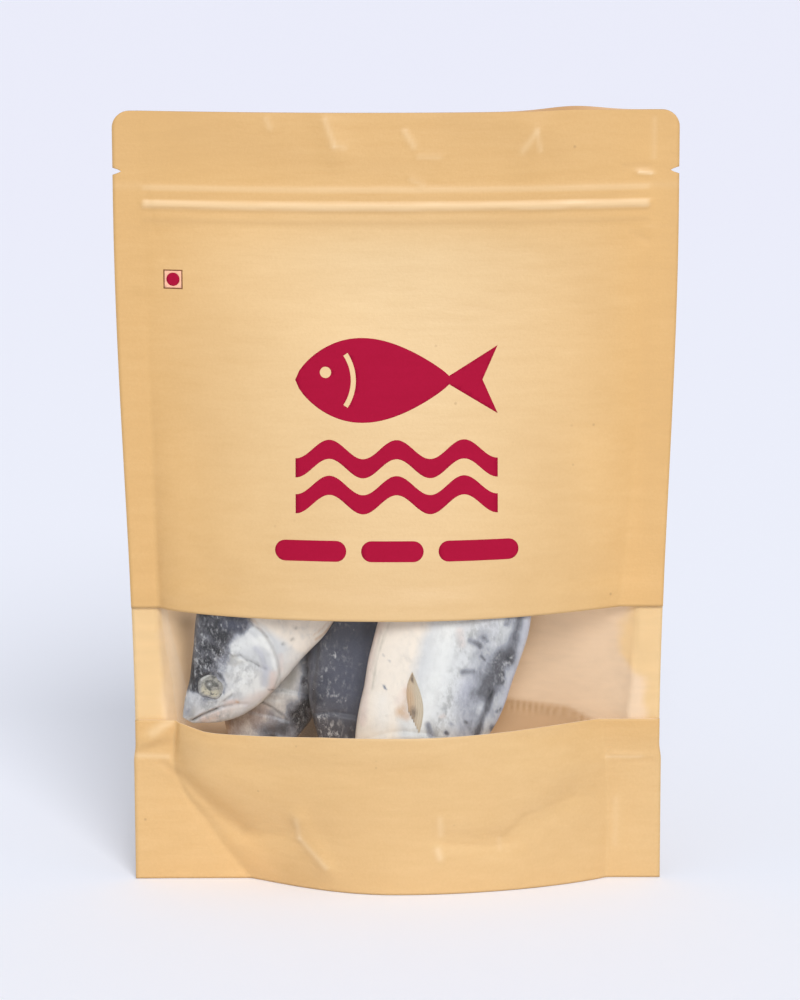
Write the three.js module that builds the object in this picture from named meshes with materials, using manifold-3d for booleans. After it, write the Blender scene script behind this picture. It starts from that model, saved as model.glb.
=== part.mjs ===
// A shut kraft paper stand-up pouch of dried fish, with a clear strip across its lower front.
// Millimetres, +Z up, the printed front faces -Y, the origin is on the floor under the middle.
// Every web of the pouch is a thin closed sheet, and the four whole fish stand inside, heads down.
import * as THREE from 'three';
import { mergeVertices } from 'three/addons/utils/BufferGeometryUtils.js';
import Module from 'manifold-3d';

const wasm = await Module();
wasm.setup();

// The pouch, laid flat
const pouchWidth = 190;
const pouchHeight = 265;
const sealWidth = 8.4;              // heat seal down each side
const cornerRadius = 5.7;           // the two top corners
const sidePull = 4.9;               // how far each side draws in where the pouch is full
const fullHeight = 45;              // where the pouch is fullest and its sides are drawn in most
const taperHeight = 190;            // how far above that the sides run straight again
const footFlare = 0.6;              // how far the stiff foot stands out again
const footHeight = 42;              // fold of the gusset at the side seals
const footRamp = 6;
const bowDrop = 0.8;                // how much the top drops where the sheet bellies out
const paperThickness = 0.5;
const filmThickness = 0.25;
const gap = 0.3;                    // clearance between sheets that touch

// The clear strip and the kraft that laps over it
const windowBottom = 56.3;
const windowTop = 95.7;
const filmLap = 5;
const lapRamp = 2;

// Tear notches and the press zip, which shows as raised lines through the paper
const notchHeight = 244.8;
const notchDepth = 2.2;
const notchHalf = 1.1;
const zipBottom = 227.3;
const zipTop = 241.4;
const zipRidge = 234.6;
const zipRidgeHalf = 1.6;
const zipRise = 0.9;
const zipFlange = 0.25;

// Gusset: its seal to the front and back is a U, low in the middle
const gussetLow = 14;
const gussetCrown = 21;             // height of the arched base in the middle
const gussetPower = 2.4;
const gussetHalf = 80;              // how far out the U has climbed to the fold at the side seals
const gussetArch = 0.8;
const gussetInset = 1.1;            // its edges' clearance to the front and back sheets
const gussetLeft = -70;
const gussetRight = 67;
const gussetColumns = 22;

// The top edge: cut a little higher towards the right, where the two flaps also part
const topBump = { across: 60, width: 13, rise: 1.6, from: 240 };
const mouth = { across: 55, width: 20, gap: 1.2, from: 242 };

// Sections of the filled pouch: how far the sheet bellies out at each height, how far out from the
// middle the belly reaches to the left and right, and how full its shoulder is (less is fuller)
const frontSections = [
  { height: 0, depth: 22, leftReach: 54, leftPower: 0.9, rightReach: 70, rightPower: 0.8 },
  { height: 41, depth: 28, leftReach: 77, leftPower: 0.74, rightReach: 72, rightPower: 1.05 },
  { height: 55.8, depth: 28.3, leftReach: 76, leftPower: 0.66, rightReach: 70, rightPower: 1.25 },
  { height: 95.6, depth: 23.6, leftReach: 81, leftPower: 0.72, rightReach: 76, rightPower: 1.05 },
  { height: 160, depth: 14, leftReach: 83, leftPower: 0.9, rightReach: 82, rightPower: 0.95 },
  { height: 226, depth: 4.5, leftReach: 84.5, leftPower: 1, rightReach: 84.5, rightPower: 1 },
  { height: 265, depth: 3, leftReach: 86, leftPower: 1, rightReach: 86, rightPower: 1 },
];
const backSections = [
  { height: 0, depth: 22, leftReach: 60, leftPower: 0.85, rightReach: 66, rightPower: 0.85 },
  { height: 45, depth: 28.9, leftReach: 78, leftPower: 0.75, rightReach: 78, rightPower: 0.8 },
  { height: 95.6, depth: 23.6, leftReach: 82, leftPower: 0.8, rightReach: 82, rightPower: 0.8 },
  { height: 160, depth: 13, leftReach: 83, leftPower: 0.9, rightReach: 83, rightPower: 0.9 },
  { height: 226, depth: -3, leftReach: 84.5, leftPower: 1, rightReach: 84.5, rightPower: 1 },
  { height: 265, depth: -2, leftReach: 86, leftPower: 1, rightReach: 86, rightPower: 1 },
];

// Soft folds in the front: from and to are [across, height], rise is out of the sheet
const frontFolds = [
  { from: [-81, 42], to: [-53, 19], width: 5, rise: -1.4 },
  { from: [-53, 19], to: [-30, 20], width: 6, rise: -1 },
  { from: [-34, 27], to: [-24, 8], width: 3.5, rise: 1.3 },
  { from: [16, 20], to: [36, 17], width: 4, rise: -1 },
  { from: [36, 19], to: [60, 31], width: 5, rise: -1.3 },
  { from: [60, 31], to: [80, 31], width: 5, rise: -0.8 },
  { from: [73, 42], to: [90, 42], width: 4, rise: 0.7 },
  { from: [-77, 54], to: [-90, 43], width: 4, rise: 1.2 },
  { from: [-24, 264], to: [-20, 252], width: 5, rise: 1 },
  { from: [47, 259], to: [45, 250], width: 7, rise: 1.2 },
];

// The dried fish: one body outline in fractions of the length, depth and thickness
const fishLength = 158;
const fishOutline = [
  { along: 0, up: 0.03, down: 0.05, out: 0.1 },
  { along: 0.04, up: 0.09, down: 0.23, out: 0.34 },
  { along: 0.08, up: 0.14, down: 0.33, out: 0.56 },
  { along: 0.135, up: 0.24, down: 0.4, out: 0.78 },
  { along: 0.2, up: 0.34, down: 0.44, out: 0.95 },
  { along: 0.236, up: 0.375, down: 0.455, out: 1 },
  { along: 0.25, up: 0.385, down: 0.46, out: 0.9 },
  { along: 0.34, up: 0.44, down: 0.51, out: 1 },
  { along: 0.46, up: 0.46, down: 0.49, out: 0.98 },
  { along: 0.6, up: 0.38, down: 0.4, out: 0.8 },
  { along: 0.75, up: 0.23, down: 0.25, out: 0.5 },
  { along: 0.86, up: 0.09, down: 0.1, out: 0.26 },
  { along: 0.9, up: 0.08, down: 0.09, out: 0.16 },
  { along: 0.93, up: 0.17, down: 0.18, out: 0.09 },
  { along: 1, up: 0.38, down: 0.38, out: 0.06 },
];
const tailFork = 10;                // how far the tips of the tail pass its middle
const tailNotch = 2;
const bodySides = 12;
const bodyRings = 19;
const ringCrowding = 1.15;          // rings stand closer towards the head
const flankFullness = 0.85;
const eye = { along: 16.7, up: 0.2, out: 0.33, radius: 4.7, rise: 1 };
const jaw = { length: 13, drop: 7, slot: 0.8 };
const breastFin = { along: 48, up: -10, out: 0.452, length: 22, depth: 7, thickness: 1.6 };

const kraft = new THREE.MeshStandardMaterial({ color: 0xe4bd83, roughness: 0.62, metalness: 0 });
const film = new THREE.MeshStandardMaterial({
  color: 0xf4ead8, roughness: 0.12, metalness: 0, transparent: true, opacity: 0.3,
});
const paleFish = new THREE.MeshStandardMaterial({ color: 0xdcd8d0, roughness: 0.5, metalness: 0 });
const slateFish = new THREE.MeshStandardMaterial({ color: 0x5d6068, roughness: 0.5, metalness: 0 });

const clamp = (value, low, high) => Math.min(Math.max(value, low), high);

const smoothStep = (value, low, high) => {
  const t = clamp((value - low) / (high - low), 0, 1);
  return t * t * (3 - 2 * t);
};

// A curve through the rows of a table that never overshoots them
function tableCurve(rows, keyName, valueName) {
  const keys = rows.map((row) => row[keyName]);
  const values = rows.map((row) => row[valueName]);
  const rises = keys.slice(1).map((key, i) => (values[i + 1] - values[i]) / (key - keys[i]));
  const slopes = values.map((_, i) => {
    const before = rises[Math.max(i - 1, 0)];
    const after = rises[Math.min(i, rises.length - 1)];
    return before * after <= 0 ? 0 : (2 * before * after) / (before + after);
  });
  return (key) => {
    const x = clamp(key, keys[0], keys.at(-1));
    const i = Math.max(keys.findLastIndex((k, n) => k <= x && n < keys.length - 1), 0);
    const span = keys[i + 1] - keys[i];
    const t = (x - keys[i]) / span;
    const bend = values[i] * (1 + 2 * t) * (1 - t) ** 2 + values[i + 1] * t * t * (3 - 2 * t);
    return bend + span * t * (1 - t) * (slopes[i] * (1 - t) - slopes[i + 1] * t);
  };
}

function sectionCurves(sections) {
  const names = ['depth', 'leftReach', 'leftPower', 'rightReach', 'rightPower'];
  return Object.fromEntries(names.map((name) => [name, tableCurve(sections, 'height', name)]));
}

const frontCurves = sectionCurves(frontSections);
const backCurves = sectionCurves(backSections);

function belly(curves, x, height) {
  const side = x < 0 ? 'left' : 'right';
  const across = Math.min(Math.abs(x) / curves[side + 'Reach'](height), 1);
  return curves.depth(height) * (1 - across * across) ** curves[side + 'Power'](height);
}

// Half the pouch's width: drawn in by the filling, rounded at the top, nicked by the tear notches
function halfWidth(height) {
  const drawn = 0.5 * (1 + Math.cos(Math.PI * clamp((height - fullHeight) / taperHeight, 0, 1)));
  const foot = footFlare * (1 - smoothStep(height, footHeight, footHeight + footRamp));
  const above = Math.max(height - (pouchHeight - cornerRadius), 0);
  const corner = cornerRadius - Math.sqrt(Math.max(cornerRadius ** 2 - above ** 2, 0));
  const notch = notchDepth * Math.max(1 - Math.abs(height - notchHeight) / notchHalf, 0);
  return pouchWidth / 2 - sidePull * drawn + foot - corner - notch;
}

function foldRise(x, height) {
  let rise = 0;
  for (const fold of frontFolds) {
    const run = [fold.to[0] - fold.from[0], fold.to[1] - fold.from[1]];
    const offset = [x - fold.from[0], height - fold.from[1]];
    const t = clamp((offset[0] * run[0] + offset[1] * run[1]) / (run[0] ** 2 + run[1] ** 2), 0, 1);
    const away = Math.hypot(offset[0] - t * run[0], offset[1] - t * run[1]) / fold.width;
    rise += fold.rise * Math.exp(-away * away);
  }
  return rise;
}

function zipRelief(x, height) {
  const inside = 1 - smoothStep(Math.abs(x), pouchWidth / 2 - sealWidth - 2, pouchWidth / 2 - sealWidth);
  const flange = smoothStep(height, zipBottom - 1, zipBottom) - smoothStep(height, zipTop, zipTop + 1);
  const ridge = Math.max(1 - Math.abs(height - zipRidge) / zipRidgeHalf, 0);
  return inside * (zipFlange * flange + zipRise * ridge);
}

const bellCurve = (x, shape) => Math.exp(-(((x - shape.across) / shape.width) ** 2));

function mouthGap(x, height) {
  return mouth.gap * bellCurve(x, mouth) * smoothStep(height, mouth.from, pouchHeight);
}

// The sheet shortens where it bellies out
function sheetHeight(x, height) {
  const bow = belly(frontCurves, x, height) / frontCurves.depth(height);
  const drop = bowDrop * clamp((height - gussetLow) / (zipBottom - gussetLow), 0, 1) * bow;
  const climb = clamp((height - topBump.from) / (pouchHeight - topBump.from), 0, 1);
  return height - drop + topBump.rise * bellCurve(x, topBump) * climb;
}

// Distance of the inner face of the front sheets from the middle plane, towards the viewer.
// Folds fade in the pressed seals, and never cut into the back sheet.
function frontInner(x, height) {
  const swell = belly(frontCurves, x, height) + zipRelief(x, height) + mouthGap(x, height) / 2;
  const loose = 0.3 + 0.7 * smoothStep(belly(frontCurves, x, height), 0, 4);
  const touching = -belly(backCurves, x, height) - mouthGap(x, height);
  return gap / 2 + Math.max(swell + foldRise(x, height) * loose, touching);
}

function backInner(x, height) {
  return gap / 2 + belly(backCurves, x, height) + mouthGap(x, height) + zipRelief(x, height);
}

// Kraft lies over the film where the two lap, and close to the back elsewhere
function kraftLift(height) {
  const low = smoothStep(height, windowBottom - filmLap - lapRamp, windowBottom - filmLap);
  const high = smoothStep(height, windowTop + filmLap, windowTop + filmLap + lapRamp);
  return (filmThickness + gap) * (low - high);
}

const frontFace = (x, height) => -(frontInner(x, height) + kraftLift(height));
const filmFace = (x, height) => -frontInner(x, height);

// A closed thin sheet over a grid of columns and rows: point gives the outer and inner corner
function sheet(columns, rows, point) {
  const positions = [];
  const faces = [];
  const across = columns.length;
  const layer = across * rows.length;
  for (const side of [0, 1]) {
    for (const row of rows) {
      for (const column of columns) positions.push(...point(column, row, side));
    }
  }
  const quad = (a, b, c, d) => faces.push(a, b, c, a, c, d);
  for (let r = 0; r < rows.length - 1; r += 1) {
    for (let c = 0; c < across - 1; c += 1) {
      const k = r * across + c;
      quad(k, k + 1, k + across + 1, k + across);
      quad(k + layer, k + layer + across, k + layer + across + 1, k + layer + 1);
    }
  }
  for (let c = 0; c < across - 1; c += 1) {
    const top = (rows.length - 1) * across + c;
    quad(c + 1, c, c + layer, c + layer + 1);
    quad(top, top + 1, top + layer + 1, top + layer);
  }
  for (let r = 0; r < rows.length - 1; r += 1) {
    const left = r * across;
    const right = left + across - 1;
    quad(left, left + across, left + across + layer, left + layer);
    quad(right + across, right, right + layer, right + layer + across);
  }
  return closedGeometry(positions, faces);
}

function closedGeometry(positions, faces) {
  const geometry = new THREE.BufferGeometry();
  geometry.setAttribute('position', new THREE.Float32BufferAttribute(positions, 3));
  geometry.setIndex(faces);
  return geometry;
}

// Columns from edge to edge: three lines in each seal band, even ones between
function columnLines(count) {
  const inner = pouchWidth / 2 - sealWidth;
  const middle = Array.from({ length: count + 1 }, (_, i) => -inner + (2 * inner * i) / count);
  return [-1, -0.5, ...middle.map((x) => x / inner), 0.5, 1].map((value, i, all) => {
    const inBand = i < 2 || i > all.length - 3;
    return { inBand, value };
  });
}

// Where a column crosses a height: the seal bands follow the pouch's edge, the rest stays in place
function columnPlace(column, height) {
  const edge = halfWidth(height);
  const pull = sidePull * (1 - smoothStep(height, fullHeight, fullHeight + taperHeight));
  const inner = pouchWidth / 2 - sealWidth - pull;
  if (!column.inBand) return column.value * inner;
  return Math.sign(column.value) * (inner + (edge - inner) * Math.abs(column.value));
}

// Even rows from low to high, and the extra ones in place of those that they come close to
function rowLines(low, high, step, extra = []) {
  const count = Math.round((high - low) / step);
  const even = Array.from({ length: count + 1 }, (_, i) => low + ((high - low) * i) / count);
  const kept = even.filter((row) => extra.every((e) => Math.abs(row - e) > step / 3));
  return [...new Set([low, ...kept, ...extra, high])].sort((a, b) => a - b);
}

const ridgeRows = [zipRidge - zipRidgeHalf, zipRidge, zipRidge + zipRidgeHalf];
const zipRows = [zipBottom - 1, zipBottom, ...ridgeRows, zipTop, zipTop + 1];
const notchRows = [-notchHalf, 0, notchHalf].map((offset) => notchHeight + offset);
const cornerRows = [0, 0.4, 0.7, 0.9].map((part) => pouchHeight - cornerRadius * (1 - part));
const topRows = [...zipRows, ...notchRows, ...cornerRows];

// The film and the kraft that laps it share their columns and rows, so they stay parallel
const frontColumns = columnLines(26);
const lapRows = [windowBottom - filmLap - lapRamp, windowBottom - filmLap, windowBottom];
const lapTopRows = [windowTop, windowTop + filmLap, windowTop + filmLap + lapRamp];
const lowerRows = rowLines(0, windowBottom, 5, lapRows);
const upperRows = rowLines(windowTop, pouchHeight, 10, [...lapTopRows, ...topRows]);
const filmRows = [lapRows[1], ...rowLines(windowBottom, windowTop, 8), lapTopRows[1]];

function frontWeb(rows, face, thickness) {
  return sheet(frontColumns, rows, (column, row, side) => {
    const x = columnPlace(column, row);
    return [x, face(x, row) - (side === 0 ? thickness : 0), sheetHeight(x, row)];
  });
}

function backWeb() {
  return sheet(columnLines(14), rowLines(0, pouchHeight, 16, topRows), (column, row, side) => {
    const x = columnPlace(column, row);
    const y = backInner(x, row) + (side === 0 ? 0 : paperThickness);
    return [x, y, sheetHeight(x, row)];
  });
}

function gussetSeal(x) {
  const share = Math.min(Math.abs(x) / gussetHalf, 1);
  return gussetLow + (footHeight - gussetLow) * share ** gussetPower;
}

// The arched base between the two U seals; v runs from the front seal to the back one
function gussetWeb() {
  const spread = (gussetRight - gussetLeft) / gussetColumns;
  const columns = Array.from({ length: gussetColumns + 1 }, (_, i) => gussetLeft + spread * i);
  const rows = Array.from({ length: 9 }, (_, i) => -1 + i / 4);
  return sheet(columns, rows, (x, v, side) => {
    const seal = gussetSeal(x);
    const crown = Math.max(seal, gussetCrown + (footHeight - gussetCrown) * (x / gussetHalf) ** 2);
    const front = filmFace(x, seal) + gussetInset;
    const back = backInner(x, seal) - gussetInset;
    const y = front + ((back - front) * (v + 1)) / 2;
    const arch = (crown - seal) * (1 - v * v) ** gussetArch;
    return [x, y, seal + arch - (side === 0 ? 0 : paperThickness)];
  });
}

// One ring of the body: the outline above and below the backbone and the thickness to each side
function fishRing(shape, along, build) {
  const up = shape.up(along) * build.depth;
  const down = shape.down(along) * build.depth;
  const out = (shape.out(along) * build.thickness) / 2;
  const fork = tailFork * smoothStep(along, 0.9, 1);
  return Array.from({ length: bodySides }, (_, i) => {
    const angle = (2 * Math.PI * i) / bodySides;
    const rise = Math.sin(angle);
    const height = rise > 0 ? up * rise : down * rise;
    const side = Math.sign(Math.cos(angle)) * Math.abs(Math.cos(angle)) ** flankFullness;
    return [along * fishLength + fork * rise * rise, height, out * side];
  });
}

function fishBody(build, bow) {
  const shape = {
    up: tableCurve(fishOutline, 'along', 'up'),
    down: tableCurve(fishOutline, 'along', 'down'),
    out: tableCurve(fishOutline, 'along', 'out'),
  };
  const positions = [0, 0, 0];
  const faces = [];
  const first = (ring) => 1 + ring * bodySides;
  for (let ring = 0; ring < bodyRings; ring += 1) {
    const along = ((ring + 0.25) / (bodyRings - 0.75)) ** ringCrowding;
    for (const [x, y, z] of fishRing(shape, along, build)) {
      positions.push(x, y, z + bow * Math.sin(Math.PI * along));
    }
  }
  positions.push(fishLength - tailNotch, 0, 0);
  const tail = positions.length / 3 - 1;
  for (let side = 0; side < bodySides; side += 1) {
    const next = (side + 1) % bodySides;
    faces.push(0, first(0) + side, first(0) + next);
    faces.push(tail, first(bodyRings - 1) + next, first(bodyRings - 1) + side);
    for (let ring = 0; ring < bodyRings - 1; ring += 1) {
      const a = first(ring) + side;
      const b = first(ring) + next;
      faces.push(a, a + bodySides, b, b, a + bodySides, b + bodySides);
    }
  }
  return closedGeometry(positions, faces);
}

function toSolid(geometry) {
  const bare = geometry.clone();
  bare.deleteAttribute('normal');
  bare.deleteAttribute('uv');
  const merged = mergeVertices(bare, 1e-4);
  const vertProperties = new Float32Array(merged.getAttribute('position').array);
  const triVerts = new Uint32Array(merged.index.array);
  return new wasm.Manifold(new wasm.Mesh({ numProp: 3, vertProperties, triVerts }));
}

function fromSolid(solid) {
  const { vertProperties, triVerts } = solid.getMesh();
  return closedGeometry(Array.from(vertProperties), Array.from(triVerts));
}

// The mouth: a slot from the snout back and down through the head
function mouthSlot(thickness) {
  const slot = new THREE.BoxGeometry(jaw.length * 1.2, jaw.slot, thickness * 2);
  slot.rotateZ(-Math.atan2(jaw.drop, jaw.length));
  slot.translate(jaw.length * 0.4, -jaw.drop * 0.42, 0);
  return toSolid(slot);
}

// A round lump on one flank, such as an eye or a folded fin
function flankLump(part, radii, side, thickness, bow) {
  const out = side * thickness * part.out + bow * Math.sin((Math.PI * part.along) / fishLength);
  const ball = new THREE.SphereGeometry(1, 12, 6);
  ball.scale(...radii);
  ball.translate(part.along, part.up, out);
  return toSolid(ball);
}

// A whole fish in its own frame: +X from snout to tail, +Y to its back, both flanks along Z
function fishGeometry(build, bow) {
  const { thickness } = build;
  let solid = toSolid(fishBody(build, bow)).subtract(mouthSlot(thickness));
  const eyeRadii = [eye.radius, eye.radius, eye.rise];
  const finRadii = [breastFin.length / 2, breastFin.depth / 2, breastFin.thickness / 2];
  for (const side of [-1, 1]) {
    solid = solid.add(flankLump(eye, eyeRadii, side, thickness, bow));
    solid = solid.add(flankLump(breastFin, finRadii, side, thickness, bow));
  }
  return fromSolid(solid);
}

// Each fish by its snout, how its backbone leans to the right and tips to the front, how far it
// bows to the front, and which way its back faces
const fishPlaces = [
  {
    name: 'fish_left', snout: [-72.5, -2.4, 56.7], lean: 58, pitch: 0.6,
    bow: 4.8, back: -1, depth: 48, thickness: 14, skin: paleFish,
  },
  {
    name: 'fish_right', snout: [-0.9, -16.2, 24], lean: 72.6, pitch: -4.5,
    bow: 1.5, back: 1, depth: 52.5, thickness: 15, skin: paleFish,
  },
  {
    name: 'fish_middle', snout: [-20.5, 0.1, 27.5], lean: 78, pitch: 0.3,
    bow: -1.2, back: -1, depth: 49, thickness: 11.5, skin: slateFish,
  },
  {
    name: 'fish_behind', snout: [-45, 8.3, 34], lean: 81, pitch: 2.8,
    bow: -4.2, back: 1, depth: 48, thickness: 9.4, skin: slateFish,
  },
];

function fishMesh(place) {
  const lean = THREE.MathUtils.degToRad(place.lean);
  const pitch = THREE.MathUtils.degToRad(place.pitch);
  const level = Math.cos(pitch);
  const ahead = new THREE.Vector3(Math.cos(lean) * level, -Math.sin(pitch), Math.sin(lean) * level);
  const flat = new THREE.Vector3(Math.sin(lean), 0, -Math.cos(lean)).multiplyScalar(place.back);
  const up = flat.addScaledVector(ahead, -flat.dot(ahead)).normalize();
  const out = new THREE.Vector3().crossVectors(ahead, up);
  const mesh = new THREE.Mesh(fishGeometry(place, -Math.sign(out.y) * place.bow), place.skin);
  mesh.name = place.name;
  mesh.quaternion.setFromRotationMatrix(new THREE.Matrix4().makeBasis(ahead, up, out));
  mesh.position.set(...place.snout);
  return mesh;
}

function named(name, geometry, material) {
  const mesh = new THREE.Mesh(geometry, material);
  mesh.name = name;
  return mesh;
}

const pouch = new THREE.Group();
pouch.add(named('kraft_front_upper', frontWeb(upperRows, frontFace, paperThickness), kraft));
pouch.add(named('kraft_front_lower', frontWeb(lowerRows, frontFace, paperThickness), kraft));
pouch.add(named('window_film', frontWeb(filmRows, filmFace, filmThickness), film));
pouch.add(named('kraft_back', backWeb(), kraft));
pouch.add(named('kraft_gusset', gussetWeb(), kraft));
for (const place of fishPlaces) pouch.add(fishMesh(place));

export default pouch;
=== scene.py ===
# A shut kraft stand-up pouch of dried fish: the paper, the clear strip, the print and the fish inside.
import math

import bmesh
import bpy
import numpy as np
from mathutils import Matrix, Vector


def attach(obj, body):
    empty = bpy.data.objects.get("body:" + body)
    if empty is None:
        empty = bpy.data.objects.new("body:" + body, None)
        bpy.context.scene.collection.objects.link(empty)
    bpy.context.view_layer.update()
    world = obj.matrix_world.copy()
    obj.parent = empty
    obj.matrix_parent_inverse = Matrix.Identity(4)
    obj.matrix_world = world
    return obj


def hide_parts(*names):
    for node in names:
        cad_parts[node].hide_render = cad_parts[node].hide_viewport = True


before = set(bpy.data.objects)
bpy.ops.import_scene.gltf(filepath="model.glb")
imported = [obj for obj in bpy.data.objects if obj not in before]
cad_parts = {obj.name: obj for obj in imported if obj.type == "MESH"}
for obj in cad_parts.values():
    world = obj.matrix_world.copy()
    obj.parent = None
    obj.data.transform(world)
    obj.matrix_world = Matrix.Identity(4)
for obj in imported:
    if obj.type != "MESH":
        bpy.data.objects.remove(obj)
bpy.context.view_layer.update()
milli = 0.001  # the shapes below are worked out in millimetres


def smoothStep(value, low, high):
    t = np.clip((value - low) / (high - low), 0, 1)
    return t * t * (3 - 2 * t)


def fadeOut(value, low, high):
    return 1 - smoothStep(value, low, high)


def hump(value, middle, width):
    return np.exp(-(((value - middle) / width) ** 2))


def tableCurve(keys, values):
    # a curve through the points of a table that never overshoots them
    keys, values = np.array(keys, float), np.array(values, float)
    rises = np.diff(values) / np.diff(keys)
    before = np.concatenate([rises[:1], rises])
    after = np.concatenate([rises, rises[-1:]])
    both = before + after
    both[both == 0] = 1
    slopes = np.where(before * after <= 0, 0, 2 * before * after / both)

    def curve(key):
        x = np.clip(key, keys[0], keys[-1])
        i = np.clip(np.searchsorted(keys, x, side="right") - 1, 0, len(keys) - 2)
        span = keys[i + 1] - keys[i]
        t = (x - keys[i]) / span
        bend = values[i] * (1 + 2 * t) * (1 - t) ** 2 + values[i + 1] * t * t * (3 - 2 * t)
        return bend + span * t * (1 - t) * (slopes[i] * (1 - t) - slopes[i + 1] * t)

    return curve


def lattice(cells, seed):
    # one repeatable random number from 0 to 1 for each whole-number cell
    mixed = cells[..., 0] * 374761393 + cells[..., 1] * 668265263 + seed * 974711
    mixed = (mixed ^ (mixed >> 13)) * 1274126177
    return ((mixed ^ (mixed >> 16)) & 0xFFFF) / 65535.0


def cloud(x, y, size, seed, octaves=3):
    # soft noise from -1 to 1 whose largest spots are about size across
    total, weight = 0, 0
    for octave in range(octaves):
        grain = size / 2**octave
        place = np.stack(np.broadcast_arrays(x / grain, y / grain), -1)
        cell = np.floor(place).astype(np.int64)
        t = place - cell
        t = t * t * (3 - 2 * t)
        value = 0
        for corner in range(4):
            step = np.array([corner & 1, corner >> 1])
            share = np.prod(np.where(step, t, 1 - t), axis=-1)
            value = value + share * lattice(cell + step, seed + octave * 17)
        total = total + (value * 2 - 1) / 2**octave
        weight += 1 / 2**octave
    return total / weight


def lineGlow(a, u, line, width):
    # 1 on a line of points and falling off softly to each side
    best = np.full(np.shape(a), 1e9)
    for (startA, startU), (endA, endU) in zip(line[:-1], line[1:]):
        runA, runU = endA - startA, endU - startU
        t = np.clip(((a - startA) * runA + (u - startU) * runU) / (runA**2 + runU**2), 0, 1)
        best = np.minimum(best, np.hypot(a - startA - t * runA, u - startU - t * runU))
    return hump(best, 0, width)


def lineMarks(a, u, marks):
    # soft marks along lines: the points of each line, its width and its strength
    total = 0
    for *line, width, strength in marks:
        total = total + strength * lineGlow(a, u, line, width)
    return total


def meshPiece(name, points, faces, materials, faceSlots=None):
    mesh = bpy.data.meshes.new(name)
    mesh.from_pydata((np.asarray(points, float) * milli).tolist(), [], faces)
    for material in materials:
        mesh.materials.append(material)
    if faceSlots is not None:
        mesh.polygons.foreach_set("material_index", faceSlots)
    mesh.polygons.foreach_set("use_smooth", [True] * len(mesh.polygons))
    mesh.update()
    return newObject(name, mesh)


def newObject(name, data):
    made = bpy.data.objects.new(name, data)
    bpy.context.scene.collection.objects.link(made)
    return made


def plainMesh(source):
    # the finished mesh of an object that isn't needed any more
    bpy.context.view_layer.update()
    mesh = bpy.data.meshes.new_from_object(source.evaluated_get(bpy.context.evaluated_depsgraph_get()))
    bpy.data.objects.remove(source)
    return mesh


def giveAttribute(piece, name, values):
    attribute = piece.data.attributes.new(name, "FLOAT", "POINT")
    attribute.data.foreach_set("value", np.asarray(values, np.float32).ravel())


def finishPiece(piece, slot, *nodes):
    if nodes:
        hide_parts(*nodes)
    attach(piece, "root")


view = {
    "distance": 1.25,
    "height": 0.3504,
    "aside": 0.0011,  # the photo's middle lies a little right of the pouch's
    "pitch": 9.883,
    "roll": 0.15,
    "lens": 134.16,
}


def makeCamera():
    data = bpy.data.cameras.new("camera")
    data.lens = view["lens"]
    camera = newObject("camera", data)
    place = Matrix.Translation((view["aside"], -view["distance"], view["height"]))
    tip = Matrix.Rotation(math.radians(90 - view["pitch"]), 4, "X")
    camera.matrix_world = place @ tip @ Matrix.Rotation(math.radians(-view["roll"]), 4, "Z")
    bpy.context.scene.camera = camera


studio = {
    "skyColour": (0.93, 0.955, 1.0),
    "skyStrength": 0.585,
    "floorNear": (0.9, 0.92, 0.99),
    "floorFar": (0.9, 0.9, 0.99),
    "floorSize": 30,
    "floorDrop": 0.0002,  # just under the pouch's foot
    "keyTurn": 10,  # degrees to the right of the camera, and above the floor
    "keyRise": 33,
    "keyStrength": 2.3,
    "keySoftness": 26,
    "keyColour": (0.985, 0.985, 1.0),
}


def makeStudio():
    scene = bpy.context.scene
    scene.view_settings.view_transform = "Standard"
    world = bpy.data.worlds.new("sky")
    world.use_nodes = True
    sky = world.node_tree.nodes["Background"]
    sky.inputs["Color"].default_value = (*studio["skyColour"], 1)
    sky.inputs["Strength"].default_value = studio["skyStrength"]
    scene.world = world
    data = bpy.data.lights.new("key", "SUN")
    data.energy = studio["keyStrength"]
    data.angle = math.radians(studio["keySoftness"])
    data.color = studio["keyColour"]
    turn, rise = math.radians(studio["keyTurn"]), math.radians(studio["keyRise"])
    towards = Vector((math.sin(turn) * math.cos(rise), -math.cos(turn) * math.cos(rise), math.sin(rise)))
    newObject("key", data).rotation_euler = towards.to_track_quat("Z", "Y").to_euler()
    half, drop = studio["floorSize"] / 2 / milli, studio["floorDrop"] / milli
    corners = [(-half, -half, -drop), (half, -half, -drop), (half, half, -drop), (-half, half, -drop)]
    meshPiece("floor", corners, [(0, 1, 2, 3)], [floorMaterial()])


def newMaterial(name):
    material = bpy.data.materials.new(name)
    material.use_nodes = True
    return material, material.node_tree


def fill(tree, made, values):
    # a plain value for each socket, or a link where the value is itself a socket
    for key, value in values.items():
        if isinstance(value, bpy.types.NodeSocket):
            tree.links.new(value, made.inputs[key])
        else:
            made.inputs[key].default_value = value


def dressed(material, looks):
    fill(material.node_tree, material.node_tree.nodes["Principled BSDF"], looks)
    return material


def node(tree, kind, inputs=None, **settings):
    made = tree.nodes.new(kind)
    for key, value in settings.items():
        setattr(made, key, value)
    fill(tree, made, inputs or {})
    return made


def mathOf(operation):
    return lambda tree, first, second=0.0: node(
        tree, "ShaderNodeMath", operation=operation, inputs={0: first, 1: second}).outputs[0]


times, plus, minus, sizeOf = (mathOf(name) for name in ("MULTIPLY", "ADD", "SUBTRACT", "ABSOLUTE"))


def objectPlace(tree):
    return node(tree, "ShaderNodeTexCoord").outputs["Object"]


def noiseOf(tree, vector, scale, detail=4, rough=0.55, bend=0.0):
    settings = {"Vector": vector, "Scale": scale, "Detail": detail, "Roughness": rough, "Distortion": bend}
    return node(tree, "ShaderNodeTexNoise", inputs=settings).outputs["Fac"]


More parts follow.
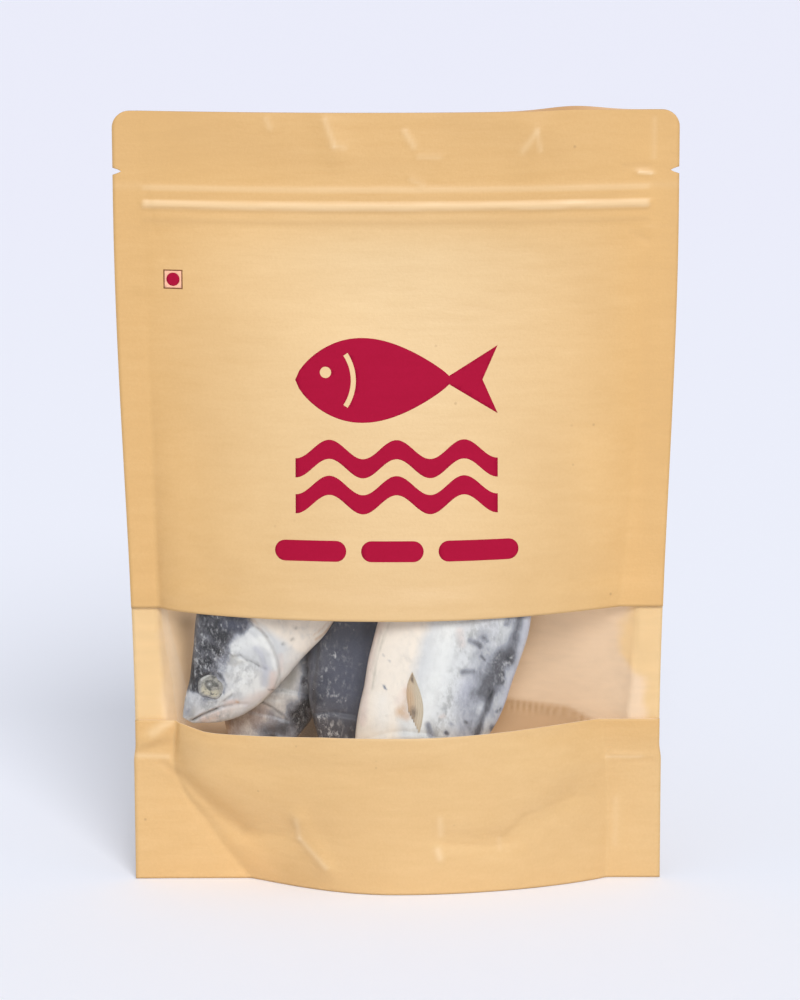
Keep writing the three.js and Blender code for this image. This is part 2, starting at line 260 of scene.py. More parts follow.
def mapRange(tree, value, low, high, toLow=0.0, toHigh=1.0):
    settings = {"Value": value, "From Min": low, "From Max": high, "To Min": toLow, "To Max": toHigh}
    return node(tree, "ShaderNodeMapRange", inputs=settings).outputs["Result"]


def mixColour(tree, share, first, second, blend="MIX"):
    made = node(tree, "ShaderNodeMix", data_type="RGBA", blend_type=blend)
    first, second = (c if isinstance(c, bpy.types.NodeSocket) else (*c, 1) for c in (first, second))
    fill(tree, made, {0: share, 6: first, 7: second})
    return made.outputs[2]


def layered(tree, colours, base, layers):
    # one colour laid over the next, each as far as its share says
    colour = colours[base]
    for name, share in layers:
        colour = mixColour(tree, share, colour, colours[name])
    return colour


def scaled(tree, colour, brightness):
    grey = node(tree, "ShaderNodeCombineXYZ", inputs={0: brightness, 1: brightness, 2: brightness})
    return mixColour(tree, 1.0, colour, grey.outputs[0], "MULTIPLY")


def attributeOf(tree, name):
    return node(tree, "ShaderNodeAttribute", attribute_name=name).outputs["Fac"]


def bumpOf(tree, height, strength, distance):
    settings = {"Height": height, "Strength": strength, "Distance": distance}
    return node(tree, "ShaderNodeBump", inputs=settings).outputs[0]


def newGroup(name, inputs, outputs):
    # a shader group of number inputs, with its entry's outputs and its exit
    group = bpy.data.node_groups.new(name, "ShaderNodeTree")
    for way, keys in (("INPUT", inputs), ("OUTPUT", outputs)):
        for key in keys:
            kind = "NodeSocketColor" if key == "Colour" else "NodeSocketFloat"
            group.interface.new_socket(name=key, in_out=way, socket_type=kind)
    return group, group.nodes.new("NodeGroupInput").outputs, group.nodes.new("NodeGroupOutput")


def floorMaterial():
    # paler by the pouch and bluer in the distance
    material, tree = newMaterial("studioFloor")
    deep = node(tree, "ShaderNodeSeparateXYZ", inputs={0: objectPlace(tree)}).outputs[1]
    colour = mixColour(tree, mapRange(tree, deep, -0.1, 2.5), studio["floorNear"], studio["floorFar"])
    return dressed(material, {"Base Color": colour, "Roughness": 0.8, "Specular IOR Level": 0.1})


def makePaperGrain():
    # pulp clouds, short fibres and rare dark specks of kraft paper, shared by the sheets and their ink
    group, given, leave = newGroup("paperGrain", ("Cloud", "Fibre"), ("Tone", "Specks", "Height"))
    place = objectPlace(group)

    def swing(noise, share):
        return times(group, minus(group, noise, 0.5), share)

    fibres = noiseOf(group, place, 1100, 3, 0.65)
    flat = node(group, "ShaderNodeMapping", inputs={"Vector": place, "Scale": (0.22, 1.0, 1.5)}).outputs[0]
    clouds = times(group, plus(group, noiseOf(group, place, 20, 3, 0.5), noiseOf(group, flat, 230)), 0.5)
    dots = node(group, "ShaderNodeTexVoronoi", inputs={"Vector": place, "Scale": 150.0}).outputs
    pick = node(group, "ShaderNodeSeparateColor", inputs={"Color": dots["Color"]}).outputs[0]
    near = mapRange(group, dots["Distance"], 0.04, 0.1, 1.0, 0.0)
    fill(group, leave, {
        "Tone": plus(group, swing(clouds, given["Cloud"]), swing(fibres, given["Fibre"])),
        "Specks": times(group, near, mapRange(group, pick, 0.8, 0.9)),
        "Height": plus(group, clouds, swing(fibres, 0.2)),
    })
    return group


paper = {
    "golden": (0.612, 0.368, 0.14),
    # pale is also the colour of a painted sheen on the full middle of the front
    "pale": (0.662, 0.466, 0.24),
    # a painted highlight and a painted shade, for the creases and the zip
    "paintedHighlight": (0.8, 0.6, 0.36),
    "shaded": (0.5, 0.3, 0.12),
    "speck": (0.3, 0.17, 0.07),
    "rim": (0.8, 0.68, 0.52),
    # a painted glow for the cut edges along the clear strip, and painted shade for the outer ones
    "rimPaintedGlow": (0.2, 0.15, 0.1),
    "cutEdgeShade": (0.36, 0.22, 0.1),
    "roughness": (0.4, 0.55),
    "inside": (0.53, 0.4, 0.28),
    "glow": (0.295, 0.215, 0.145),  # daylight that comes through the back sheet
    # painted shade in the pleats, the seals' weaker glow, painted light added as glow, and painted shade that
    # dims the inside
    "pleatShade": (0.42, 0.245, 0.105),
    "sealGlow": (0.07, 0.045, 0.025),
    "lit": (0.2, 0.14, 0.08),
    "dim": (0.085, 0.08, 0.085),
    "black": (0.0, 0.0, 0.0),
}
paperGrain = makePaperGrain()


def grainOf(tree, clouds, fibres):
    inputs = {"Cloud": clouds, "Fibre": fibres}
    return node(tree, "ShaderNodeGroup", node_tree=paperGrain, inputs=inputs).outputs


def kraftMaterial():
    # golden at the seals and paler where the pouch is full, a painted sheen where the bulging middle meets
    # the light, with painted highlights and painted shade along the creases and the zip, and painted light
    # between the folds
    material, tree = newMaterial("kraftPaper")
    grain = grainOf(tree, 0.27, 0.12)
    share = plus(tree, attributeOf(tree, "full"), times(tree, grain["Tone"], 2.0))
    colour = layered(tree, paper, "golden", [("pale", mapRange(tree, share, 0, 1))])
    tone = plus(tree, times(tree, grain["Tone"], 0.6), 1.0)
    colour = scaled(tree, colour, plus(tree, tone, attributeOf(tree, "lift")))
    for crease in ("shaded", "paintedHighlight"):
        colour = mixColour(tree, attributeOf(tree, crease), colour, paper[crease])
    return dressed(material, {
        "Base Color": mixColour(tree, times(tree, grain["Specks"], 0.4), colour, paper["speck"]),
        "Roughness": mapRange(tree, noiseOf(tree, objectPlace(tree), 60, 3), 0.3, 0.7, *paper["roughness"]),
        "Normal": bumpOf(tree, grain["Height"], 0.3, 0.0008),
        "Specular IOR Level": 0.4,
    })


def insideMaterial():
    # the inner faces: peach, lit through the paper by a glow, with painted shade in the pleats and the dim
    # places, painted light by the seals, and golden on the seals
    material, tree = newMaterial("paperInside")
    tone = grainOf(tree, 0.3, 0.04)["Tone"]
    seal, pleatShade, lit, dim = (attributeOf(tree, mask) for mask in ("seal", "pleatShade", "lit", "dim"))
    colour = layered(tree, paper, "inside", (("pale", seal), ("pleatShade", pleatShade)))
    colour = scaled(tree, colour, plus(tree, tone, 1.0))
    pleatGlow = tuple(0.3 * c for c in paper["glow"])
    glow = mixColour(tree, seal, paper["glow"], paper["sealGlow"])
    glow = mixColour(tree, times(tree, pleatShade, 0.75), glow, pleatGlow)
    glow = scaled(tree, glow, plus(tree, times(tree, tone, 1.6), 1.0))
    glow = mixColour(tree, lit, glow, paper["lit"], "ADD")
    return dressed(material, {
        "Base Color": mixColour(tree, dim, colour, paper["dim"]),
        "Emission Color": mixColour(tree, dim, glow, paper["black"]),
        "Emission Strength": 1.0,
        "Roughness": 0.6,
        "Specular IOR Level": 0.2,
    })


def rimMaterial():
    # cut edges: pale with a painted glow along the clear strip, and browned by painted shade around the pouch
    material, tree = newMaterial("paperRim")
    outer, noise = attributeOf(tree, "outer"), noiseOf(tree, objectPlace(tree), 500)
    return dressed(material, {
        "Base Color": layered(tree, paper, "rim", (("pale", noise), ("cutEdgeShade", outer))),
        "Emission Color": layered(tree, paper, "rimPaintedGlow", [("black", outer)]),
        "Emission Strength": 1.0,
        "Roughness": 0.6,
    })


ink = {
    "bright": (0.355, 0.005, 0.035),
    "dark": (0.315, 0.004, 0.028),
    "frame": (0.17, 0.07, 0.03),
    "blush": (0.76, 0.42, 0.28),
    "stand": 0.02,
    "thickness": 0.02,
}


def inkMaterial(name, dark, bright):
    material, tree = newMaterial(name)
    share = mapRange(tree, grainOf(tree, 1.5, 0.8)["Tone"], -0.4, 0.4)
    colour = mixColour(tree, share, dark, bright)
    return dressed(material, {"Base Color": colour, "Roughness": 0.7, "Specular IOR Level": 0.06})


clear = {
    "tint": (0.995, 0.99, 0.98),
    "gleam": (0.93, 0.88, 0.8),
    "haze": 0.004,
    "gloss": 0.1,
    "roughness": 0.2,
    "ior": 1.35,
    "wrinkle": 90,
}


def filmMaterial():
    # see-through, with a little haze and a gloss that grows at a slant
    material, tree = newMaterial("clearFilm")
    bump = bumpOf(tree, noiseOf(tree, objectPlace(tree), clear["wrinkle"], 2), 0.1, 0.0006)
    dressed(material, {"Base Color": (*clear["gleam"], 1), "Roughness": clear["roughness"], "Normal": bump})
    through = node(tree, "ShaderNodeBsdfTransparent", inputs={"Color": (*clear["tint"], 1)}).outputs[0]
    gloss = node(tree, "ShaderNodeFresnel", inputs={"IOR": clear["ior"], "Normal": bump}).outputs[0]
    share = plus(tree, times(tree, gloss, clear["gloss"]), clear["haze"])
    film = tree.nodes["Principled BSDF"].outputs[0]
    mix = node(tree, "ShaderNodeMixShader", inputs={0: share, 1: through, 2: film})
    tree.links.new(mix.outputs[0], tree.nodes["Material Output"].inputs["Surface"])
    return material


pouch = {
    "width": 190,
    "height": 265,
    "seal": 8.4,
    "corner": 5.7,
    "sidePull": 4.9,
    "footFlare": 0.6,
    "footHeight": 42,
    "paper": 0.5,
    "film": 0.25,
    "gap": 0.3,
    "windowBottom": 56.3,
    "windowTop": 95.7,
    "filmLap": 5,
    "lapRamp": 7,
    "notchHeight": 244.8,
    "notchDepth": 2.9,
    "notchHalf": 1.2,
    "zipBottom": 228.2,
    "zipTop": 239.9,
    "zipRidge": 233.8,
    "zipHalf": 1.8,  # half the ridge's width
    "zipRise": 0.9,
    "zipFlange": 0.25,
}
# height, how far the sheet bellies out, reach and fullness of the shoulder to the left and right
frontSections = (
    (0, 22, 51, 1.15, 72, 0.9),
    (17, 24.6, 64, 1.2, 72.5, 1.0),
    (41, 28, 77, 0.8, 72, 1.05),
    (55.8, 28.3, 76, 0.66, 70, 1.25),
    (95.6, 23.6, 81, 0.72, 76, 1.05),
    (160, 14, 83, 0.9, 82, 0.95),
    (226, 4.5, 84.5, 1, 84.5, 1),
    (265, 3, 86, 1, 86, 1),
)
backSections = (
    (0, 22, 60, 0.85, 66, 0.85),
    (45, 28.87, 78, 0.75, 78, 0.8),
    (95.6, 23.6, 82, 0.8, 82, 0.8),
    (160, 13, 83, 0.9, 83, 0.9),
    (226, -3, 84.5, 1, 84.5, 1),
    (265, -2, 86, 1, 86, 1),
)
# start, end, width and rise of each soft fold in the front
frontFolds = (
    ((-81, 42), (-53, 19), 4.4, -1.3), ((-53, 19), (-30, 20), 6, -0.7), ((-34, 27), (-24, 8), 3.5, 0.9),
    ((16, 20), (36, 17), 4, -1), ((36, 19), (60, 31), 5, -0.8), ((60, 31), (80, 31), 5, -0.5),
    ((73, 42), (90, 42), 4, 0.7), ((-77, 54), (-90, 43), 4, 1.2), ((-24, 264), (-20, 252), 5, 1),
    ((47, 259), (45, 250), 7, 1.2),
)
# small creases, wrinkles and dents between the soft folds, in the same form
fineFolds = (
    ((-81, 41), (-68, 31), 1.6, -0.5), ((-68, 31), (-54, 19.5), 2.2, -0.7),
    ((-79, 39), (-66, 27), 3, 0.5), ((-34.5, 25.8), (-33.5, 19), 1.9, 0.3),
    ((-33.5, 19), (-24.4, 9), 1.8, 0.4), ((-52, 19.5), (-36, 21.5), 2, -0.35),
    ((14.4, 27.4), (14, 21), 1.8, 0.3), ((13.2, 16.5), (15, 13), 1.9, 0.4),
    ((16, 18.6), (34.5, 16.8), 1.0, -0.4), ((35.5, 19.5), (43.5, 27), 1.3, -0.45),
    ((43.5, 27), (60, 31.8), 1.1, -0.25), ((75, 12), (75.5, 28), 2.2, 0.16),
    ((72, 42.2), (88, 41.6), 0.9, -0.45), ((74, 43.6), (84, 43.4), 0.9, 0.35),
    ((-78, 55.5), (-86, 49), 2, 0.6), ((-77, 50), (-90, 43.6), 1.2, -0.5),
    ((-23.6, 262.5), (-20.6, 254.5), 1.6, 0.3), ((-20.6, 254.5), (-17, 253.4), 1.4, 0.2),
    ((-43.3, 262.9), (-42, 259.5), 1.5, 0.2), ((3, 258.5), (6.2, 253.5), 1.2, 0.35),
    ((47.2, 258.5), (44.8, 252), 1.6, 0.4), ((7.7, 250.4), (14.8, 250.3), 1.4, 0.2),
    ((5.1, 243.4), (9.1, 241.2), 1.4, 0.2), ((80.5, 244.1), (86, 243.6), 0.8, 0.4),
    ((76.4, 247.2), (84.8, 246.6), 1.1, -0.35), ((78.9, 224.8), (84.4, 221.4), 1.0, -0.35),
    ((82.2, 226), (86.4, 225), 0.8, 0.3), ((-84, 239), (-81, 224), 1.0, -0.3),
    ((-86, 206), (-80, 214), 2.5, 0.35), ((-60, 118), (-38, 104), 7, 0.5),
    ((20, 214), (62, 205), 9, -0.45), ((56, 150), (70, 118), 8, 0.5), ((-70, 180), (-52, 150), 9, -0.5),
)


def sectionCurves(sections):
    columns = list(zip(*sections))
    names = ("depth", "leftReach", "leftPower", "rightReach", "rightPower")
    return {name: tableCurve(columns[0], column) for name, column in zip(names, columns[1:])}


frontCurves = sectionCurves(frontSections)
backCurves = sectionCurves(backSections)


def belly(curves, x, height):
    left = x < 0
    reach = np.where(left, curves["leftReach"](height), curves["rightReach"](height))
    power = np.where(left, curves["leftPower"](height), curves["rightPower"](height))
    across = np.minimum(np.abs(x) / reach, 1)
    return curves["depth"](height) * (1 - across * across) ** power


def halfWidth(height):
    drawn = 0.5 * (1 + np.cos(np.pi * np.clip((height - 45) / 190, 0, 1)))
    foot = pouch["footFlare"] * (1 - smoothStep(height, pouch["footHeight"], pouch["footHeight"] + 6))
    above = np.maximum(height - (pouch["height"] - pouch["corner"]), 0)
    corner = pouch["corner"] - np.sqrt(np.maximum(pouch["corner"] ** 2 - above**2, 0))
    notch = np.maximum(1 - np.abs(height - pouch["notchHeight"]) / pouch["notchHalf"], 0) ** 0.7
    return pouch["width"] / 2 - pouch["sidePull"] * drawn + foot - corner - pouch["notchDepth"] * notch


def zipRelief(x, height):
    inner = pouch["width"] / 2 - pouch["seal"]
    inside = 1 - smoothStep(np.abs(x), inner - 2, inner)
    flange = smoothStep(height, pouch["zipBottom"] - 1, pouch["zipBottom"])
    flange = flange - smoothStep(height, pouch["zipTop"], pouch["zipTop"] + 1)
    ridge = np.maximum(1 - np.abs(height - pouch["zipRidge"]) / pouch["zipHalf"], 0)
    return inside * (pouch["zipFlange"] * flange + pouch["zipRise"] * ridge)


def mouthGap(x, height):
    return 1.2 * hump(x, 55, 20) * smoothStep(height, 242, 265)


def sheetHeight(x, height, share=1.0):
    bow = belly(frontCurves, x, height) / frontCurves["depth"](height)
    drop = 0.8 * np.clip((height - 14) / 213.3, 0, 1) * bow
    rise = 1.59 * hump(x, 60, 13) * np.clip((height - 240) / 25, 0, 1)
    return height - drop + rise * share


def frontInner(x, height):
    swell = belly(frontCurves, x, height) + zipRelief(x, height) + mouthGap(x, height) / 2
    loose = 0.3 + 0.7 * smoothStep(belly(frontCurves, x, height), 0, 4)
    touching = -belly(backCurves, x, height) - mouthGap(x, height)
    return pouch["gap"] / 2 + np.maximum(swell + lineMarks(x, height, frontFolds) * loose, touching)


def fineRise(x, height):
    # creases and a faint waviness of the kraft, which end before the clear strip
    clear = 1 - smoothStep(height, pouch["windowBottom"] - 3, pouch["windowBottom"] - 0.5)
    clear = clear + smoothStep(height, pouch["windowTop"] + 0.5, pouch["windowTop"] + 3)
    wave = 0.2 * (cloud(x, height, 34, 61) - 0.6) * (1 - smoothStep(np.abs(x), 78, 84))
    return np.maximum(lineMarks(x, height, fineFolds) + wave, -0.25) * clear


def backInner(x, height):
    return pouch["gap"] / 2 + belly(backCurves, x, height) + mouthGap(x, height) + zipRelief(x, height)


lapLow, lapHigh = pouch["windowBottom"] - pouch["filmLap"], pouch["windowTop"] + pouch["filmLap"]


def kraftLift(height):
    # the kraft stands off the film where it laps over it
    low = smoothStep(height, lapLow - pouch["lapRamp"], lapLow)
    high = smoothStep(height, lapHigh, lapHigh + pouch["lapRamp"])
    return (pouch["film"] + pouch["gap"]) * (low - high)


def frontFace(x, height):
    return -(frontInner(x, height) + kraftLift(height) + fineRise(x, height))


def filmFace(x, height):
    return -frontInner(x, height)


def gridFaces(across, down):
    # outward faces of a closed thin sheet of two layers of points: slot 0 on the first layer,
    # 1 on the rim and 2 on the second layer
    layer = across * down
    faces, slots = [], []
    for row in range(down - 1):
        for column in range(across - 1):
            k = row * across + column
            faces.append((k, k + 1, k + across + 1, k + across))
            faces.append((k + layer, k + layer + across, k + layer + across + 1, k + layer + 1))
            slots += [0, 2]
    for column in range(across - 1):
        top = (down - 1) * across + column
        faces.append((column + 1, column, column + layer, column + layer + 1))
        faces.append((top, top + 1, top + layer + 1, top + layer))
        slots += [1, 1]
    for row in range(down - 1):
        left = row * across
        right = left + across - 1
        faces.append((left, left + across, left + across + layer, left + layer))
        faces.append((right + across, right, right + layer, right + layer + across))
        slots += [1, 1]
    return faces, slots


def sheetGrid(low, high, step, extra=()):
    # columns follow the seals and the edge, rows run up the sheet
    count = int(round((pouch["width"] - 2 * pouch["seal"]) / step))
    inner = np.linspace(-1, 1, count + 1)
    band = np.linspace(0, 1, 7)[1:]
    rows = set(np.linspace(low, high, int(round((high - low) / step)) + 1).tolist())
    rows = [row for row in rows if all(abs(row - other) > step * 0.3 for other in extra)]
    rows = np.array(sorted({low, high, *rows, *[e for e in extra if low < e < high]}))
    edge = halfWidth(rows)
    middle = pouch["width"] / 2 - pouch["seal"] - pouch["sidePull"] * (1 - smoothStep(rows, 45, 235))
    left = -(middle[:, None] + (edge - middle)[:, None] * band[None, ::-1])
    right = middle[:, None] + (edge - middle)[:, None] * band[None, :]
    x = np.concatenate([left, middle[:, None] * inner[None, :], right], axis=1)
    return x, np.repeat(rows[:, None], x.shape[1], axis=1)


# painted light and shade of the front: bright painted highlights and dark soft painted shade along the
# creases, as start, end, width and strength
highlightLines = (
    ((-34.5, 25.8), (-33.5, 19), 0.9, 0.3), ((-33.5, 18.8), (-24.4, 8.9), 0.85, 0.42),
    ((14.4, 27.4), (14.6, 21.5), 1.0, 0.3), ((13.7, 16.2), (14.4, 13.2), 1.2, 0.5),
    ((34.6, 18.4), (34.8, 15), 0.9, 0.2), ((75, 12), (75.3, 28), 1.3, 0.16),
    ((72, 42.9), (84, 42.9), 0.6, 0.35), ((-90.4, 43.8), (-79, 43.2), 0.9, 0.35),
    ((-84, 52), (-78, 56), 1.8, 0.35), ((-23.6, 262.7), (-20.6, 254.1), 1.0, 0.3),
    ((-20.6, 254.1), (-17, 253.4), 0.9, 0.25), ((-43.3, 262.9), (-42, 259.9), 0.9, 0.22),
    ((3, 258.8), (6, 253.8), 1.0, 0.3), ((47.2, 258.5), (42.5, 252), 1.0, 0.25),
    ((47.2, 258.5), (48.4, 252), 0.8, 0.25), ((7.7, 250.4), (14.8, 250.2), 0.8, 0.22),
    ((5.1, 242.8), (9.1, 240.9), 0.8, 0.22), ((81.6, 244.2), (86, 243.7), 0.5, 0.7),
    ((86.6, 262), (86.4, 249), 0.8, 0.15),
)
# painted shade along the creases and in broad soft patches
shadedLines = (
    ((-80.7, 41.4), (-76, 37.6), 1.1, 0.35), ((-76, 37.6), (-53, 18.8), 2.7, 0.26),
    ((-53, 18.6), (-36.6, 21.3), 1.7, 0.14), ((16.7, 18.8), (34.8, 16.6), 0.8, 0.24),
    ((35.5, 19.4), (43, 26.6), 1.0, 0.2), ((43, 26.6), (60.5, 31.3), 0.8, 0.2),
    ((60.5, 31.3), (68.3, 30), 0.9, 0.15), ((73.2, 41.4), (89.4, 41.2), 0.7, 0.2),
    ((-90.7, 45.8), (-78, 49.6), 1.3, 0.28), ((-76.6, 55), (-77, 44), 0.6, 0.16),
    ((76.4, 246.9), (84.8, 246.2), 0.8, 0.25), ((78.9, 224.5), (84.4, 221.6), 0.8, 0.25),
    ((20, 262), (54, 252), 6, 0.14), ((-70, 258), (-34, 250), 7, 0.12), ((-20, 248), (10, 246), 4, 0.1),
    ((62, 214), (70, 196), 6, 0.09), ((-34, 103), (40, 104), 15, 0.2), ((48, 152), (66, 118), 14, 0.1),
    ((-68, 190), (-62, 150), 8, 0.08), ((84, 215), (86, 120), 3, 0.1),
)
# painted light that brightens the full parts between the folds
paintedLightLines = (
    ((-66, 34), (-48, 10), 8, 0.1), ((-66, 60), (-45, 25), 13, 0.09), ((-52, 13), (-44, 1), 5, 0.06),
    ((-50, 225), (-20, 190), 20, 0.04), ((-74, 150), (-70, 110), 9, 0.04), ((66, 150), (72, 108), 9, 0.05),
    ((82, 100), (84, 250), 9, 0.05),
)
# painted highlights and painted shade in bands along the zip: measured from, low, high and strength
zipBands = {
    "paintedHighlight": (("zipRidge", -1.0, 1.3, 0.5), ("zipTop", -1.6, 0.6, 0.26)),
    "shaded": (("zipRidge", -1.8, -1.1, 0.5), ("zipTop", -4.2, -2.2, 0.1), ("zipBottom", -0.6, 1.5, 0.22)),
}


def zipPaint(x, height, bands):
    # even bands with soft edges, the ridge's a little wavy
    waver = {"zipRidge": 0.35 * cloud(x, height, 12, 71, 2)}
    total = 0
    for line, low, high, strength in bands:
        away = height - pouch[line] - waver.get(line, 0)
        band = smoothStep(away, low - 0.35, low + 0.35) * fadeOut(away, high - 0.35, high + 0.35)
        total = total + strength * band
    return total


def frontPaint(x, height):
    # how much painted sheen the full middle takes, its painted highlights and painted shade along the creases
    # and the lines of the zip, and painted light between the folds
    full = (1 - np.minimum(np.abs(x) / 84, 1) ** 2) ** 1.3
    full = full * (1 - 0.92 * smoothStep(height, 214, 240)) * (0.6 + 0.32 * smoothStep(height, 30, 190))
    full = full + (0.34 + 0.1 * smoothStep(x, -40, 20) - full) * 0.8 * (1 - smoothStep(height, 40, 62))
    inside = 1 - smoothStep(np.abs(x), 84, 86)
    paintedHighlight = lineMarks(x, height, highlightLines) + inside * zipPaint(x, height, zipBands["paintedHighlight"])
    paintedHighlight = paintedHighlight + 0.1 * (1 - inside) * hump(height, pouch["zipTop"], 1.2)
    shaded = lineMarks(x, height, shadedLines) + inside * zipPaint(x, height, zipBands["shaded"])
    shaded = shaded + 0.12 * (1 - inside) * hump(height, pouch["zipBottom"] - 2, 0.7)
    shaded = shaded + 0.1 * smoothStep(height, 242, 250) * (0.5 + 0.5 * cloud(x, height, 30, 81, 2))
    # painted light between the folds and at the lower left
    lift = lineMarks(x, height, paintedLightLines)
    lift = lift + 0.03 * (1 - smoothStep(height, 20, 50)) * (1 - smoothStep(x, 20, 50))
    return {"full": full, "paintedHighlight": paintedHighlight, "shaded": shaded, "lift": lift, "outer": outerEdge(x, height)}


def outerEdge(x, height):
    # how much painted shade browns a cut edge: along the top, the foot and the sides
    outer = np.maximum(smoothStep(height, 262, 264), 0.35 * (1 - smoothStep(height, 0.5, 2)))
    return np.maximum(outer, 0.7 * smoothStep(np.abs(x) - halfWidth(height), -1.2, -0.2))


# the window's inside: painted shade in the back sheet's fold, the inner edge of its seal, and painted shadows
# beside and under the fish
pleatEdge = {
    "line": ((24, 60), (40, 57.6), (59.5, 56.6), (68, 53), (82, 50.5)),
    "softness": 1.6,
    "pitch": 2.0,
}
sealEdge = ((60, 81.8), (70.5, 81.8), (74, 78), (78, 75.2), (88, 74.6), (94, 77))
leftShadow, lowShadow = ((-72.5, 88), (-72, 70), (-71.5, 58)), ((-68, 47.5), (-46, 44))
insideShadowLines = (((47, 92), (42, 78), (36, 62), (30, 50), 4.5, 0.62), (*lowShadow, 4, 0.9),
              (*leftShadow, 3.2, 0.6))
# painted shade that dims the gap between the fish behind and the middle one, and under and beside the left
# fish's head
dimLines = (((-33, 40), (-28, 50), 11, 0.82), ((-66, 46.5), (-46, 44), 4.2, 0.4), (*leftShadow, 3.2, 0.2))


def alongLine(key, line):
    return np.interp(key, *zip(*line))


def insidePaint(x, height):
    rightSide, lowSeal = x > 0, 1 - smoothStep(height, 70, 77)
    blotch = 2.5 * (cloud(x, height, 9, 15) - 0.5)
    inner, soft = np.where(rightSide, alongLine(height, sealEdge), 78), np.where(rightSide, 3.2, 5)
    seal = smoothStep(np.abs(x) + blotch, inner - 0.8, inner + soft) + 0.45 * (1 - smoothStep(x, -76, -62))
    fold, softness = alongLine(x, pleatEdge["line"]), pleatEdge["softness"]
    below = 1 - smoothStep(height, fold - softness * 0.4, fold + softness)
    below = below * smoothStep(x, 14, 26) * (1 - 0.6 * smoothStep(x, 64, 80))
    wave = np.sin(2 * np.pi * (x + 1.2 * cloud(x, height, 6, 5, 2)) / pleatEdge["pitch"])
    # painted shade in the fold, rippled along its pleats, and painted shadows beside and under the fish
    pleatShade = below * (0.78 + 0.22 * wave * hump(height, fold - 1.6, 2)) + lineMarks(x, height, insideShadowLines)
    # painted shade high inside, under the zip, and in the mouth's gap
    pleatShade = pleatShade + 0.5 * (1 - smoothStep(height, 205, 264)) * smoothStep(height, 200, 206)
    pleatShade = np.maximum(pleatShade, smoothStep(height, 255, 262) * (0.4 + 0.6 * hump(x, 56, 16)))
    # painted shade from the dim lines and a dimmer strip inside the right seal
    dim = lineMarks(x, height, dimLines) + 0.05 * hump(x, 80, 4) * lowSeal
    # painted light added as glow: a strip inside the left seal, the right seal's inner edge and a patch
    # beside it
    lit = np.where(rightSide, 0.03 * lowSeal, 0.35) * hump(np.abs(x), 79, 3)
    lit = lit + 0.7 * np.clip(seal, 0, 1) * smoothStep(x, 60, 70) * (1 - smoothStep(x, 80.8, 82.2))
    lit = lit + 0.13 * hump(x, 70, 8) * smoothStep(height, 54, 60)
    masks = {"seal": seal, "pleatShade": pleatShade, "lit": lit, "dim": dim, "outer": outerEdge(x, height)}
    return {**masks, "full": np.full_like(x, 0.4)}


def makeSheet(name, nodeName, slot, grid, layers, materials, paint=None, rise=1.0):
    # a thin closed sheet between two layers of points, near and far from the camera
    x, height = grid
    z = sheetHeight(x, height, rise)
    points = np.concatenate([np.stack([x, y, z], -1).reshape(-1, 3) for y in layers])
    faces, slots = gridFaces(x.shape[1], x.shape[0])
    piece = meshPiece(name, points, faces, materials, slots)
    for mask, values in (paint(x, height) if paint else {}).items():
        giveAttribute(piece, mask, np.tile(np.clip(values, 0, 1).ravel(), 2))
    finishPiece(piece, slot, nodeName)


zipRows = [pouch["zipRidge"] + k * pouch["zipHalf"] for k in (-1, 0, 1)]
zipRows += [pouch["zipBottom"] - 1, pouch["zipBottom"], pouch["zipTop"], pouch["zipTop"] + 1]
notchRows = [pouch["notchHeight"] + offset * pouch["notchHalf"] for offset in (-1, -0.5, 0, 0.5, 1)]
cornerRows = [pouch["height"] - pouch["corner"] * (1 - math.sin(turn * math.pi / 16)) for turn in range(8)]
# how far the lower web's upper edge dips, across the pouch
edgeDip = ((-78, 0), (-73, 0.3), (-66, 1.5), (-62, 1.55), (-52, 1.0), (-40, 0.5), (-26, 0))


def makePouch():
    kraft, inside, rim, film = kraftMaterial(), insideMaterial(), rimMaterial(), filmMaterial()
    extra, thick, bottom = zipRows + notchRows + cornerRows, pouch["paper"], pouch["windowBottom"]
    x, height = sheetGrid(pouch["windowTop"], pouch["height"], 1.0, extra)
    y = frontFace(x, height)
    makeSheet("kraftFrontUpper", "kraft_front_upper", "kraft_paper", (x, height), (y - thick, y),
              [kraft, rim, inside], frontPaint, 0.35)
    x, height = sheetGrid(0, bottom, 0.75)
    height = height - alongLine(x, edgeDip) * smoothStep(height, bottom - 12, bottom)
    y = frontFace(x, height)
    makeSheet("kraftFrontLower", "kraft_front_lower", "kraft_paper", (x, height), (y - thick, y),
              [kraft, rim, inside], frontPaint)
    x, height = sheetGrid(lapLow, lapHigh, 1.2)
    y = filmFace(x, height)
    makeSheet("windowFilm", "window_film", "clear_film", (x, height), (y - pouch["film"], y), [film] * 3)
    x, height = sheetGrid(0, pouch["height"], 1.1, extra)
    y = backInner(x, height)
    makeSheet("kraftBack", "kraft_back", "kraft_paper", (x, height), (y, y + thick),
              [inside, rim, kraft], insidePaint)
    print("pouch sheets made")


gusset = {"low": 14, "crown": 21, "power": 2.4, "inset": 0.8, "left": -71, "right": 68, "reach": 80}


